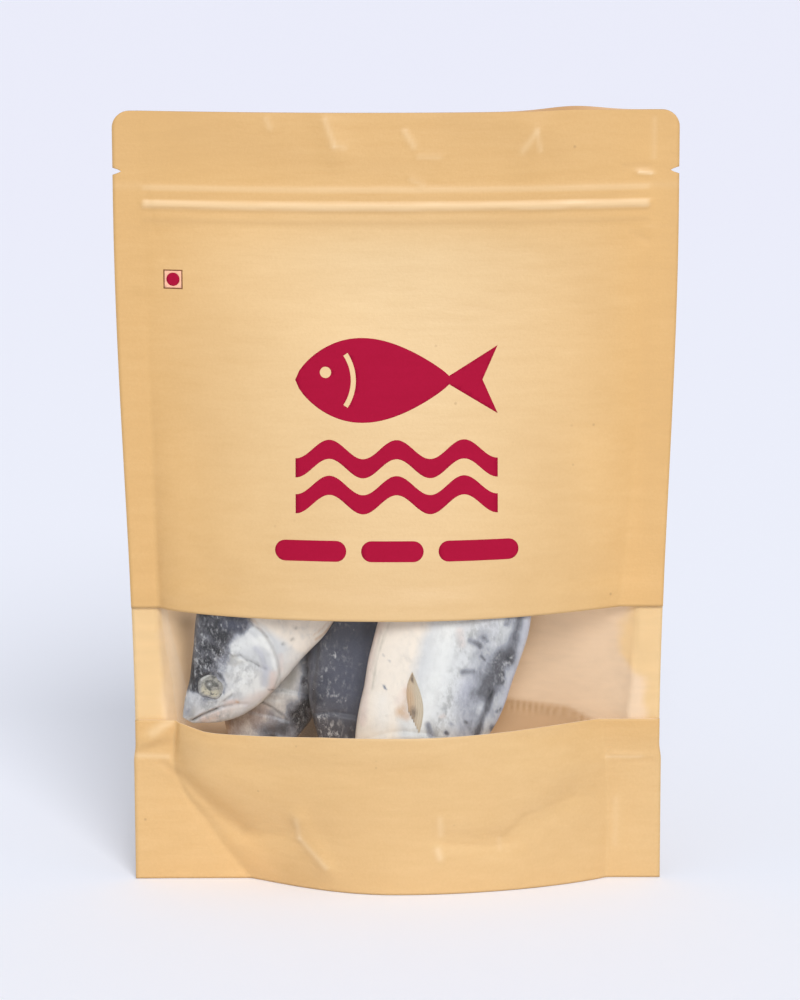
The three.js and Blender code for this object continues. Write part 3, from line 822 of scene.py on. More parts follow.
def makeGusset():
    x, v = np.meshgrid(np.linspace(gusset["left"], gusset["right"], 96), np.linspace(-1, 1, 49))
    share = np.minimum(np.abs(x) / gusset["reach"], 1)
    seal = gusset["low"] + (pouch["footHeight"] - gusset["low"]) * share ** gusset["power"]
    crown = np.maximum(seal, gusset["crown"] + (pouch["footHeight"] - gusset["crown"]) * share**2)
    front = filmFace(x, seal) + gusset["inset"]
    back = backInner(x, seal) - gusset["inset"]
    y = front + (back - front) * (v + 1) / 2
    z = seal + (crown - seal) * (1 - v * v) ** 0.8
    points = np.concatenate([np.stack([x, y, low], -1).reshape(-1, 3) for low in (z, z - pouch["paper"])])
    faces, slots = gridFaces(x.shape[1], x.shape[0])
    materials = [bpy.data.materials[name] for name in ("paperInside", "paperRim", "kraftPaper")]
    piece = meshPiece("kraftGusset", points, faces, materials, slots)
    # painted shade over the whole inside of the gusset
    giveAttribute(piece, "pleatShade", np.full(len(piece.data.vertices), 0.5))
    finishPiece(piece, "kraft_paper", "kraft_gusset")
    print("gusset made")


fishBuild = {
    "length": 158,
    "fork": 10,
    "tailNotch": 2,
    "flankFullness": 0.85,
    "fineStep": 0.5,  # spacing of the rings on the part that shows, and behind it
    "bodyStep": 1.3,
    "fineLength": 80,
    "sides": 168,
    "crowding": 0.45,  # draws the lines of the mesh together on the flanks
}
# along, up, down and out, in shares of the length, depth, depth and thickness
fishOutline = (
    (0, 0.03, 0.05, 0.1),
    (0.04, 0.09, 0.23, 0.34),
    (0.08, 0.14, 0.33, 0.56),
    (0.135, 0.24, 0.4, 0.78),
    (0.2, 0.34, 0.44, 0.95),
    (0.236, 0.375, 0.455, 0.98),
    (0.25, 0.385, 0.46, 0.97),
    (0.34, 0.44, 0.51, 1),
    (0.46, 0.46, 0.49, 0.98),
    (0.6, 0.38, 0.4, 0.8),
    (0.75, 0.23, 0.25, 0.5),
    (0.86, 0.09, 0.1, 0.26),
    (0.9, 0.08, 0.09, 0.16),
    (0.93, 0.17, 0.18, 0.09),
    (1, 0.38, 0.38, 0.06),
)
outlineKeys, *outlineColumns = zip(*fishOutline)
upCurve, downCurve, outCurve = (tableCurve(outlineKeys, column) for column in outlineColumns)
# the lines of the head, along and up from the snout, on a fish whose head is of full length
headLines = {
    "gillEdge": ((26.7, -19.4), (32.2, -18.2), (36.3, -14.7), (39.9, -10.5), (42, -6.5), (43.9, -1),
                 (44.3, 1), (43.5, 8), (40, 15)),
    "cheekEdge": ((29.2, 4.4), (29.9, 1.3), (30.8, -2.1), (30.9, -6.1), (31.3, -9.4), (31.2, -12.3)),
    "innerGill": ((25, -15.6), (31.1, -13.1), (36.6, -8.6), (38.9, -5.6), (40, 0)),
    "mouth": ((0.8, -1.5), (1.5, -2.2), (4.4, -3.5), (7.3, -5.2), (9.6, -6.6), (11.4, -7.9)),
    "upperJaw": ((11.4, -6.6), (13.9, -7.5), (15.5, -8), (16.9, -8.5)),
    "jawFold": ((11.4, -7.9), (13.9, -10.4), (16.5, -14)),
    "brow": ((14.6, 5), (17, 5.2), (20, 3.6), (22, 0.4)),
}
headLines["lips"] = tuple((a, u + 1.0) for a, u in headLines["mouth"])
# how high each line of the head stands or how deep it lies, and its width
headCuts = {"cheekEdge": (-0.35, 0.55), "innerGill": (-0.3, 0.8), "mouth": (-0.95, 0.5),
            "upperJaw": (-0.5, 0.45), "jawFold": (-0.35, 0.6), "lips": (0.3, 0.7), "brow": (0.4, 0.5)}
eyeBuild = {"along": 16.1, "up": -0.7, "length": 4.7, "depth": 4.5, "rise": 0.62, "sink": 0.3,
            "rings": 24, "sides": 56, "pupil": (0.05, 0.2)}
# each fish: its snout, how it leans, the way its back faces, its size, where it is fuller or leaner
fishPlaces = {
    "fishLeft": {
        "node": "fish_left", "slot": "pale_fish_skin", "snout": (-72.5, -2.4, 56.7), "lean": 58,
        "pitch": 0.6, "bow": 4.8, "back": -1, "depth": 48, "thickness": 14, "head": 1.0,
        "nape": (22, -0.11), "belly": (52, 0), "seed": 3, "salt": 14000,
    },
    "fishRight": {
        "node": "fish_right", "slot": "pale_fish_skin", "snout": (-0.9, -16.2, 24), "lean": 72.6,
        "pitch": -4.5, "bow": 1.5, "back": 1, "depth": 52.5, "thickness": 15, "head": 0.74,
        "nape": (40, 0.09), "belly": (52, -0.05), "seed": 11, "salt": 12000,
    },
    "fishMiddle": {
        "node": "fish_middle", "slot": "slate_fish_skin", "snout": (-20.5, 0.1, 27.5), "lean": 78,
        "pitch": 0.3, "bow": -1.2, "back": -1, "depth": 49, "thickness": 11.5, "head": 0.7,
        "nape": (40, 0), "belly": (52, 0), "seed": 23, "salt": 7000,
    },
    "fishBehind": {
        "node": "fish_behind", "slot": "slate_fish_skin", "snout": (-45, 8.3, 34), "lean": 81,
        "pitch": 2.8, "bow": -4.2, "back": 1, "depth": 48, "thickness": 9.4, "head": 0.72,
        "nape": (40, 0), "belly": (52, 0), "seed": 37, "salt": 12000,
    },
}


def behindLine(a, u, line):
    # how far a point lies behind a line that runs down the flank
    ordered = sorted((up, along) for along, up in line)
    return a - alongLine(u, ordered)


def awayFromEye(a, u):
    # 0 at the eye's middle and 1 at its rim
    return np.hypot((a - eyeBuild["along"]) / eyeBuild["length"], (u - eyeBuild["up"]) / eyeBuild["depth"])


def headRelief(a, u):
    # the skull's plates, folds and slits, outwards from the flank
    behindGill = behindLine(a, u, headLines["gillEdge"])
    behindCheek = behindLine(a, u, headLines["cheekEdge"])
    inCheek = smoothStep(u, -13.5, -11) * (1 - smoothStep(u, 3, 6))
    rise = 0.95 * smoothStep(behindGill, -13, -1) * (1 - smoothStep(behindGill, -0.5, 0.35))
    rise = rise - 0.35 * hump(behindGill, 0.9, 0.8)
    cheek = smoothStep(behindCheek, -8, -0.8) * (1 - smoothStep(behindCheek, -0.4, 0.3))
    rise = rise + inCheek * 0.35 * cheek
    for name, (height, width) in headCuts.items():
        rise = rise + height * lineGlow(a, u, headLines[name], width)
    fromEye = awayFromEye(a, u)
    rise = rise - 0.5 * (1 - smoothStep(fromEye, 0.74, 1.06)) + 0.25 * hump(fromEye, 1.18, 0.14)
    return rise + 0.16 * cloud(a, u, 3.5, 5)


def bodyRelief(a, u, seed):
    # dried flanks: shallow hollows, and fine puckers that run slantwise from the backbone
    pucker = cloud(a + 0.6 * np.abs(u), u * 0.35, 2.6, seed + 1)
    hollow = cloud(a * 0.6, u, 14, seed + 2, 2)
    return 0.4 * hollow + 0.14 * pucker - 0.28 * hump(u, 1.5, 1.6)


def fishRings():
    fine = np.arange(0.25, fishBuild["fineLength"], fishBuild["fineStep"])
    coarse = np.arange(fishBuild["fineLength"], fishBuild["length"], fishBuild["bodyStep"])
    return np.concatenate([fine, coarse, [fishBuild["length"]]]) / fishBuild["length"]


def fishSurface(place):
    # every point's place along, up and out in the fish's own frame, and its share of the flank
    along = fishRings()[:, None]
    up, down = upCurve(along) * place["depth"], downCurve(along) * place["depth"]
    # a little fuller or leaner at the nape and the belly than the others
    for reach, (middle, share) in ((up, place["nape"]), (down, place["belly"])):
        reach *= 1 + share * hump(along * fishBuild["length"], middle, 12)
    out = outCurve(along) * place["thickness"] / 2
    turn = np.linspace(0, 2 * np.pi, fishBuild["sides"], endpoint=False)[None, :]
    turn = turn - fishBuild["crowding"] * np.sin(2 * turn) / 2
    rise, flank = np.sin(turn), np.cos(turn)
    u = np.where(rise > 0, up, down) * rise
    side = np.sign(flank) * np.abs(flank) ** fishBuild["flankFullness"]
    a = along * fishBuild["length"] + fishBuild["fork"] * smoothStep(along, 0.9, 1) * rise**2
    a, u = np.broadcast_arrays(a, u)
    headA, onHead = a / place["head"], 1 - smoothStep(a, 44 * place["head"], 47 * place["head"])
    relief = headRelief(headA, u) * onHead + bodyRelief(a, u, place["seed"]) * (1 - onHead * 0.6)
    fade = smoothStep(np.abs(flank), 0.12, 0.5) * (1 - smoothStep(along, 0.82, 0.9))
    z = out * side + np.sign(flank) * relief * np.minimum(fade, out / 2.2)
    return a, u, z


def tailRays(a, u, z):
    # the tail fin's rays as fine ridges
    onTail = smoothStep(a, 146, 150)
    fan = np.arctan2(u, a - 128)
    return z * (1 + 0.35 * onTail * np.sin(fan * 70))


def fishFrame(place):
    lean, pitch = math.radians(place["lean"]), math.radians(place["pitch"])
    ahead = np.array([math.cos(lean) * math.cos(pitch), -math.sin(pitch), math.sin(lean) * math.cos(pitch)])
    flat = np.array([math.sin(lean), 0, -math.cos(lean)]) * place["back"]
    up = flat - ahead * flat.dot(ahead)
    up /= np.linalg.norm(up)
    return ahead, up, np.cross(ahead, up)


def toPouch(place, a, u, z):
    # from a fish's own frame to the pouch's, with its bow
    ahead, up, out = fishFrame(place)
    share = np.clip(a / fishBuild["length"], 0, 1)
    z = z - np.sign(out[1]) * place["bow"] * np.sin(np.pi * share)
    return np.array(place["snout"]) + a[..., None] * ahead + u[..., None] * up + z[..., None] * out


def ringFaces(rings, sides):
    faces = []
    for ring in range(rings - 1):
        for side in range(sides):
            k, next_ = ring * sides + side, ring * sides + (side + 1) % sides
            faces.append((k, k + sides, next_ + sides, next_))
    last = (rings - 1) * sides
    faces += [(rings * sides, side, (side + 1) % sides) for side in range(sides)]
    faces += [(rings * sides + 1, last + (side + 1) % sides, last + side) for side in range(sides)]
    return faces


def withEnds(grids, ends):
    # the rings' points with one more at each end, to close the skin
    return [np.concatenate([grid.ravel(), [end[k] for end in ends]]) for k, grid in enumerate(grids)]


def makeFish(name, place, material):
    a, u, z = fishSurface(place)
    rings, sides = a.shape
    ends = [(0.0, 0.0, 0.0), (fishBuild["length"] - fishBuild["tailNotch"], 0.0, 0.0)]
    a, u, z = withEnds((a, u, tailRays(a, u, z)), ends)
    piece = meshPiece(name, toPouch(place, a, u, z), ringFaces(rings, sides), [material])
    for mask, values in skinPaint(name, place, a, u).items():
        giveAttribute(piece, mask, np.clip(values, 0, 2))
    finishPiece(piece, place["slot"], place["node"])
    return piece


# painted marks of each fish in its own frame: a line's points along the skin, its width, its strength
fishMarks = {
    "fishLeft": {
        "dark": (
            ((18.6, 6.9), (15.5, 5), (13, 2.8), 1.9, 0.9), ((21.9, 6.1), (23.4, 4.1), 1.4, 0.4),
            ((27.5, 8.2), (29.3, 4.2), 1.6, 0.35), ((33.4, 8), (33.2, 5), 2.2, 0.45),
            ((36.6, 6.9), (39, 3), (39.6, 1.6), 2.2, 0.5),
            ((25.6, -0.2), (23.2, -1.9), (21.4, -1.6), 1.2, 0.3), ((27.4, 3.6), (23.8, 1), 1.5, 0.3),
            ((30.4, 1.6), (27.6, -0.4), 1.3, 0.2), ((34.4, 3.6), (31.2, 2.8), 1.8, 0.28),
            ((12, -1.6), (9, 0.2), 1.6, 0.22), ((21.3, -1.2), (19.4, -4.4), (16.4, -5.6), 0.8, 0.42),
            ((12.6, -3.1), (12, -4.9), 0.6, 0.35), ((2.2, 0.8), (6.2, 3), 2.0, 0.3),
            ((8.6, -2.2), (10.4, -1), 1.3, 0.22), ((22.4, -6.8), (24.2, -8), 0.8, 0.14),
            ((28.6, 1.4), (27.6, 2.6), 2.0, 0.22), ((25.6, -2), (28.4, -2.6), 1.3, 0.16),
        ),
        "navy": (((38, 6.4), (40, 2.2), 2.6, 0.75), ((43.2, 3), (42.7, -1), 0.9, 0.5),),
        "frost": (
            ((20, 10), (38, 11), 6, 0.5), ((19, 5), (30, 3.4), 3, 0.55), ((4, 1), (10, 3), 3, 0.6),
            ((22, -5), (30, -8), 4, 0.5),
        ),
        "white": (
            ((22.2, 8.6), (24.6, 3.6), 1.5, 0.2), ((31.5, 0.6), (37, -3.6), (39.6, -7), 2.4, 0.7),
            ((27, -7.4), (24, -7), (22, -10), (21, -14), 3.2, 1.0),
            ((27.6, -11), (24.6, -14.6), 1.8, 0.9),
            ((39.8, -6), (37.8, -11.8), (33.5, -15.6), 0.9, 0.9),
            ((5.5, -6.6), (8.4, -8.6), (11.4, -10.8), (14, -12.6), 1.7, 1.0),
            ((11.8, -6), (16, -6.8), (18.6, -7.6), 0.7, 0.9),
            ((16.1, 3.7), (19, 2.9), (21, 1.2), 0.4, 1.0),
            ((22.2, 3.6), (24.2, 1.6), (24.8, -0.8), 0.5, 0.8),
            # the thin white line beside the cheek's edge is a painted highlight
            ((29, -2), (29.8, -4.6), (30.1, -7), 0.45, 1.0), ((28.9, 3.8), (27.9, 2), 0.4, 0.9),
            ((31.4, 5.2), (30, 4), 0.5, 0.7),
        ),
        "olive": (
            ((26.6, -0.7), (29.2, -1.4), 1.3, 0.8), ((27.2, -3), (29.2, -4.6), 1.1, 0.5),
            ((22.3, -3), (21, -4.4), 1.2, 0.4), ((2, -0.4), (4, 0.4), 1.4, 0.4),
            # the olive band from 47 to 57 along is painted shade under the kraft's edge
            ((3, -1), (8, 1), 2.6, 0.3), ((47, -8), (57, -14), 2.6, 0.3),
        ),
        "lilac": (
            ((36.2, -6.2), (35.3, -9.1), (32.2, -12.5), 1.1, 0.6),
            ((31.4, -13.6), (26.5, -15.5), 1.7, 0.6), ((3, -0.5), (9, 2.5), 3.4, 0.25),
        ),
        "pink": (
            ((31.1, -16.2), (25.6, -19), 1.6, 0.9),
            ((5, -4.6), (10, -8.6), (14, -11.6), (22, -16.4), 2.6, 0.6),
            ((13.4, -7.8), (15.6, -10.8), 1.0, 0.8), ((38, -15), (34, -18), 1.2, 0.5),
            ((3, -5), (7, -8), 2.0, 0.35),
        ),
        # the long dark lines along the mouth, the cheek's edge and the gill cover are painted shade in those
        # slits; the short strokes and dots are dark marks of the skin
        "line": (
            ((29.9, 3.8), (28.8, 1.8), 0.35, 0.6), ((27.8, 4.2), (26.7, 2.4), 0.3, 0.6),
            ((29.9, 1.4), (29.6, -0.9), (31.2, -3.2), (30.8, -6.1), (31.4, -7.5), (31.3, -10.4), 0.38, 0.62),
            ((31.3, -10.4), (31.5, -13.2), 0.4, 0.35),
            ((1.2, -1.9), (4.4, -3.5), (7.3, -5.2), (9.6, -6.6), 0.42, 0.85),
            ((9.6, -6.6), (11.4, -7.9), (13.9, -10.4), 0.36, 0.45),
            ((13.7, -7.2), (15.5, -8), (16.9, -8.5), 0.4, 0.5),
            ((43.4, 0.6), (42.9, -1.5), (42.4, -5), (41.6, -7.6), 0.45, 0.5),
            ((41.6, -7.6), (39.5, -11), (37.9, -13.4), (35, -16.5), (29, -20.4), 0.4, 0.25),
            ((25.3, -18), (25.8, -19.5), 0.3, 0.8), ((26.2, -9.2), (26.5, -10.2), 0.3, 0.35),
            ((24.9, -10.3), (22.6, -11.9), 0.3, 0.22), ((42, -13.4), (42.5, -13.8), 0.45, 0.6),
            ((44.8, -15.2), (45.5, -15.6), 0.5, 0.75), ((49, -14), (49.5, -14.6), 0.4, 0.5),
        ),
        "stain": (
            ((15.6, -10.9), (15.9, -11.6), 0.45, 0.6), ((3, -5.2), (7, -8.5), 0.8, 0.25),
            ((49, -22.4), (53, -24), (60, -24.8), 0.5, 0.55),
            ((50, -20.9), (54, -22.3), (60, -23), 0.35, 0.4),
        ),
    },
    "fishRight": {
        "dark": (
            ((66, 17), (61.9, 16.4), (56, 16.4), (52.6, 15.8), 3.3, 0.66),
            ((70, 9), (63, 10.4), (56.6, 12.6), 2.6, 0.2),
            ((73, 19), (64, 20.4), (57, 19.4), (46, 20.6), (41, 21), 2.0, 0.26),
            ((53, 17.5), (47, 17.8), (43.8, 17.3), (39.2, 17.5), (36, 17), 1.2, 0.55),
            ((84, 19.2), (78.7, 19.4), (73.5, 19.9), (69.8, 20.7), (65, 20.8), 1.8, 0.6),
            ((80, 15.4), (76.6, 15.5), 1.0, 0.5), ((60.4, 19.2), (57.4, 20.4), 0.9, 0.4),
            ((49.6, 11.4), (44, 12.8), (39, 13.4), 3.8, 0.24), ((68, 5.4), (67.4, 9), 1.1, 0.42),
            ((70.4, 9.4), (69.6, 11.2), 0.9, 0.3), ((64, 10.8), (63.3, 11.8), 0.5, 0.4),
            ((57, 6), (58.2, 9.2), 1.1, 0.4), ((47.2, 21.8), (48.2, 22.4), 0.7, 0.5),
            ((41.2, 22), (40.2, 22.6), 1.2, 0.5), ((36.2, 0.2), (33.2, 2.6), 1.3, 0.46),
            ((35.6, 6.9), (35.4, 7.4), 0.6, 0.7), ((39.1, 7.6), (38.8, 8), 0.7, 0.3),
            ((41, 12.2), (40.8, 12.6), 0.5, 0.4), ((43, 3.4), (44, 4.4), 1.3, 0.14),
            ((44.6, -18), (43.6, -17), 0.4, 0.5), ((54.6, -21.3), (54.2, -20.9), 0.5, 0.28),
            ((53.3, -18.8), (53, -18.4), 0.6, 0.25),
        ),
        "frost": (((84, 12), (62, 13), 3.4, 0.7), ((66, 20), (56, 21), (40, 21), 2.6, 1.0),),
        "lilac": (
            ((84, 9), (62, 11), (50, 9), 3.4, 0.45), ((52, 11), (38, 13), 4.6, 0.7),
            ((84, 22), (65, 22.9), (54, 23), (44, 22.6), 2.2, 0.85),
        ),
        "olive": (
            # the olive band at 72 to 74 along is painted shade under the kraft's edge
            ((72, -16), (74, -4), 3.0, 0.5), ((66, -22.6), (52, -22.8), (42, -21.2), 0.5, 0.5),
            ((62, -24.2), (48, -23.6), 0.5, 0.4),
        ),
        "pink": (
            ((70, -25), (56, -25.4), (40, -23), (30, -21), 1.6, 0.7), ((70, 1), (66, 3), 1.6, 0.5),
            ((40, 3.6), (41, 4.6), 0.8, 0.6), ((46.5, -10.2), (41, -11.6), 1.7, 0.5),
        ),
        "white": (((70, -3), (50, -1), (36, -4), 4.5, 0.7), ((40, -17), (30, -14), 3.0, 0.35),),
        "stain": (
            ((37.8, -9.8), (37.2, -7.4), 2.0, 0.62), ((45, -9.8), (40, -9), 1.5, 0.42),
            ((72, -26), (60, -27), 0.6, 0.35),
        ),
    },
    "fishMiddle": {
        "navy": (((84, 4), (42, 5), 14, 1.0),),
        "frost": (
            ((51.5, 11.8), (50, 11), 1.1, 0.9), ((43.5, 13.8), (41.5, 13), 1.2, 0.9),
            ((37, 11), (36, 6.6), 1.5, 0.9), ((28, 12), (25, 7), 1.8, 0.8),
            ((24, 12), (22, 3), 2.6, 0.8), ((60, 14), (20, 8), 6, 0.3),
        ),
        "line": (
            ((60, 18.6), (45, 16.6), (37.5, 16.2), (33, 14.9), (28.4, 14.3), (24.7, 12.9), (20, 12.4),
             0.8, 0.75),
        ),
        "dark": (((42, 12.6), (38.4, 13.6), (34, 14.6), 2.0, 0.5),),
        "white": (((28, 1.2), (24, 2), 1.8, 0.1), ((35.6, 17.4), (34.5, 16.9), 0.45, 0.9),),
    },
    "fishBehind": {
        "dark": (
            ((28.6, 9.6), (26.6, 8), (24, 7.6), 2.1, 0.8), ((47, 9), (37, 8.8), (32, 8.4), 3.0, 0.22),
            ((27.4, 4.4), (21, 5.8), (19.4, 2), 1.8, 0.3), ((22.8, 9.4), (19.4, 9), 3.0, 0.3),
            ((26, 3), (24, 4.5), 1.2, 0.2), ((36.7, 7.4), (35.6, 7), 0.9, 0.4),
            ((33.2, -3.4), (33.8, -1.4), 0.8, 0.4), ((17.4, 3), (16.4, -3), 2.4, 0.44),
        ),
        "frost": (((45, 7), (35, 8.4), 2.2, 1.0), ((30, 8), (18, 8), 2, 0.5),),
        "olive": (((38, 3), (34, 2), 2.4, 0.8), ((20.6, -1), (17, 1), 2.2, 1.0),),
        "white": (((32.4, 2), (28.4, -2), (27.6, -6), 2.6, 0.5), ((23, -5), (21, 0), 1.1, 0.3),),
        "pink": (((24, -5), (20.6, -6), 2.4, 0.9),),
        "stain": (((22, -8), (15, -16), 5, 0.2), ((15.7, -25.9), (14.9, -17.1), 1.9, 0.3),),
        "line": (
            # the gill slit's dark line is painted shade in the slit
            ((28.6, -9), (27.3, -7.2), (25.5, -2), (23.8, 0.8), (22.1, 3.4), 0.5, 0.7),
            ((33.6, 8.4), (30.4, 10.6), 0.9, 0.4),
        ),
    },
}
paints = ("dark", "mottle", "marble", "navy", "frost", "cream", "pink", "lilac", "olive", "white", "stain",
          "line", "socketShade")
mottling = {"fishLeft": 2.1, "fishRight": 1.1, "fishMiddle": 0.35, "fishBehind": 1.1}
darkEdge = ((0, 6), (9, 4), (13, -3), (20, -3.6), (25, 0), (30, 2.6), (36, 1.4), (42, -0.5), (50, 4))


def skinPaint(name, place, a, u):
    head = a / place["head"]
    wobble = cloud(a, u, 9, place["seed"] + 3)
    masks = {paint: np.zeros_like(a) for paint in paints}
    masks["mottle"] += mottling[name]
    if name == "fishLeft":
        edge = alongLine(head, darkEdge)
        masks["dark"] += 0.9 * smoothStep(u + wobble * 2.2, edge - 2.5, edge + 7) ** 0.8
        masks["cream"] += smoothStep(head, 41, 46) + 0.5 * smoothStep(-u, 13, 19)
        masks["marble"] += 0.7 * (1 - smoothStep(head, 33, 38)) * smoothStep(u, -15, -9) + 0.1
        masks["frost"] += 0.25
    elif name == "fishRight":
        masks["dark"] += 0.1 * smoothStep(u + wobble * 3, 2, 10) * (1 - smoothStep(u, 18, 20))
        masks["cream"] += smoothStep(-u + wobble * 2, 6, 13)
        masks["marble"] += 0.8 * smoothStep(u + wobble * 2, -2, 6) + 0.16
        masks["frost"] += 0.15 * smoothStep(u, 0, 5)
    elif name == "fishMiddle":
        masks["dark"] += 0.82 + 0.1 * wobble - 0.05 * smoothStep(u, 7, 13)
        masks["mottle"] += 0.5 * smoothStep(u, 8, 13)
        masks["frost"] += 0.1
    else:
        low = 1 - smoothStep(a + wobble, 23.5, 26)
        masks["dark"] += 0.12 + 0.22 * low + 0.3 * smoothStep(u + wobble * 2, 3.6, 7)
        masks["cream"] += 0.4 + 0.3 * low
        masks["marble"] += 0.4
        masks["stain"] += 0.1 * low
        masks["frost"] += 0.08
    for paint, marks in fishMarks[name].items():
        masks[paint] += lineMarks(a, u, marks)
    masks["line"] *= 0.75 + 0.35 * cloud(a, u, 1.6, 7)
    # painted shade in the socket around each eye, deepest on its upper side
    around = np.arctan2(u - eyeBuild["up"], head - eyeBuild["along"])
    ring = 0.3 + 0.4 * np.cos(around - 1.9) + 0.25 * np.cos(2 * around)
    masks["socketShade"] += hump(awayFromEye(head, u), 1.08, 0.12) * ring
    return masks


skin = {
    "body": (0.56, 0.58, 0.6),
    "white": (0.7, 0.72, 0.715),
    "cream": (0.75, 0.69, 0.61),
    "pink": (0.64, 0.52, 0.475),
    "marble": (0.36, 0.37, 0.375),
    "lilac": (0.4, 0.415, 0.5),
    "olive": (0.33, 0.31, 0.26),
    "mist": (0.26, 0.275, 0.315),
    "slate": (0.092, 0.094, 0.11),
    "ink": (0.026, 0.027, 0.033),
    "navy": (0.066, 0.073, 0.106),
    "frost": (0.44, 0.45, 0.465),
    "stain": (0.5, 0.27, 0.1),
    "line": (0.05, 0.045, 0.045),
}


def makeSkinPattern():
    # colours of dried skin: warm belly, marbling, mottling from mist to ink, flecks of frost, and slits
    # darkened by painted shade, with painted shade in the eye sockets
    group, get, leave = newGroup("driedSkin", paints, ("Colour", "Height", "Roughness"))
    place = objectPlace(group)
    slant = node(group, "ShaderNodeMapping", inputs={
        "Vector": place, "Rotation": (0, math.radians(-25), 0), "Scale": (1.35, 1.0, 0.8)}).outputs[0]
    coarse, patches = noiseOf(group, slant, 170, 7, 0.74), noiseOf(group, slant, 300, 4, 0.7)
    soft, fine = noiseOf(group, place, 60, 4, 0.6), noiseOf(group, slant, 640, 4, 0.7)
    # thin veins where a bent noise crosses its middle
    bent = noiseOf(group, slant, 80, 3, 0.6, 1.8)
    veins = mapRange(group, sizeOf(group, minus(group, bent, 0.5)), 0.0, 0.09, 1.0, 0.0)
    veins = times(group, veins, mapRange(group, coarse, 0.42, 0.58))
    flecks = times(group, mapRange(group, fine, 0.5, 0.62), mapRange(group, patches, 0.4, 0.58))
    marbled = times(group, mapRange(group, soft, 0.38, 0.6), mapRange(group, patches, 0.47, 0.57))
    marbled = plus(group, marbled, times(group, veins, 0.5))
    marbled = plus(group, marbled, times(group, mapRange(group, fine, 0.56, 0.68), 0.45))
    swing = times(group, minus(group, coarse, 0.5), get["mottle"])
    tone = plus(group, get["dark"], times(group, swing, mapRange(group, get["dark"], 0.02, 0.3)))

    def frayed(paint, noise, strength, low, high):
        # the noise frays a mask's edge and leaves the bare skin alone
        moved = times(group, minus(group, noise, 0.5), strength)
        held = times(group, moved, mapRange(group, get[paint], 0.0, 0.25))
        return paint, mapRange(group, plus(group, get[paint], held), low, high)

    colour = layered(group, skin, "body", (
        frayed("cream", soft, 0.6, 0.1, 0.9),
        frayed("white", soft, 0.6, 0.05, 0.9),
        frayed("pink", soft, 0.7, 0.1, 1.1),
        ("marble", times(group, get["marble"], marbled)),
        frayed("lilac", coarse, 0.8, 0.1, 1.2),
        frayed("olive", coarse, 0.9, 0.1, 1.2),
        ("mist", mapRange(group, tone, 0.08, 0.42)),
        ("slate", mapRange(group, tone, 0.4, 0.72)),
        ("ink", mapRange(group, tone, 0.78, 1.05)),
        frayed("navy", coarse, 0.5, 0.1, 1.0),
        ("frost", times(group, flecks, get["frost"])),
        frayed("stain", coarse, 0.8, 0.1, 1.0),
        # painted shade in the eye sockets
        ("ink", times(group, get["socketShade"], mapRange(group, coarse, 0.38, 0.56, 0.3, 1.0))),
        ("line", get["line"]),
    ))
    height = plus(group, times(group, flecks, 0.5), times(group, coarse, 0.8))
    rough = mapRange(group, coarse, 0.3, 0.7, 0.36, 0.62)
    fill(group, leave, {"Colour": colour, "Height": height, "Roughness": rough})


def skinMaterial(name):
    material, tree = newMaterial(name)
    masks = {paint: attributeOf(tree, paint) for paint in paints}
    pattern = node(tree, "ShaderNodeGroup", node_tree=bpy.data.node_groups["driedSkin"], inputs=masks).outputs
    return dressed(material, {
        "Base Color": pattern["Colour"],
        "Roughness": pattern["Roughness"],
        "Normal": bumpOf(tree, pattern["Height"], 0.3, 0.0004),
        "Specular IOR Level": 0.35,
        "Coat Weight": 0.08,
        "Coat Roughness": 0.4,
    })


eyeColours = {
    "pupil": (0.2, 0.2, 0.185),
    "ring": (0.085, 0.083, 0.076),
    "glint": (0.62, 0.63, 0.6),
    "iris": (0.29, 0.285, 0.255),
    "wrinkle": (0.085, 0.085, 0.077),
    "gold": (0.45, 0.415, 0.31),
    "lid": (0.46, 0.46, 0.44),
    "shade": (0.07, 0.07, 0.068),
    "rim": (0.4, 0.4, 0.39),
}
eyeMasks = ("away", "low", "pupil", "shade", "lid")


def eyeMaterial():
    # a clouded eye: a small dark ring with a glint, mottled grey and gold, and a ragged lid over its edge
    material, tree = newMaterial("driedEye")
    away, low, pupil, shade, lid = (attributeOf(tree, mask) for mask in eyeMasks)
    streaks = noiseOf(tree, objectPlace(tree), 420, 6, 0.72)

    def streaked(*ends):
        return mapRange(tree, streaks, *ends)

    fray = times(tree, minus(tree, streaks, 0.5), 0.6)
    fromRim, fromPupil = plus(tree, away, fray), plus(tree, pupil, times(tree, fray, 0.6))
    colour = layered(tree, eyeColours, "iris", (
        ("wrinkle", streaked(0.44, 0.56)),
        ("gold", times(tree, low, streaked(0.57, 0.47))),
        ("shade", times(tree, shade, streaked(0.38, 0.56, 0.35, 1.0))),
        ("ring", mapRange(tree, fromPupil, 0.27, 0.36, 0.8, 0.0)),
        ("pupil", mapRange(tree, fromPupil, 0.16, 0.24, 1.0, 0.0)),
        ("glint", mapRange(tree, fromPupil, 0.02, 0.09, 0.55, 0.0)),
        ("rim", times(tree, mapRange(tree, fromRim, 0.72, 0.95), streaked(0.6, 0.42, 0.25, 0.9))),
        ("lid", times(tree, lid, streaked(0.62, 0.48))),
    ))
    bump = bumpOf(tree, streaks, 0.3, 0.0003)
    return dressed(material, {"Base Color": colour, "Roughness": 0.35, "Normal": bump,
                              "Coat Weight": 0.25, "Coat Roughness": 0.2})


def flankHeight(place, a, u):
    # how far the smooth flank stands out from the backbone's plane
    share = np.clip(a / fishBuild["length"], 0, 1)
    reach = np.where(u > 0, upCurve(share), downCurve(share)) * place["depth"]
    flank = np.sqrt(np.maximum(1 - (u / reach) ** 2, 0))
    return outCurve(share) * place["thickness"] / 2 * flank ** fishBuild["flankFullness"]


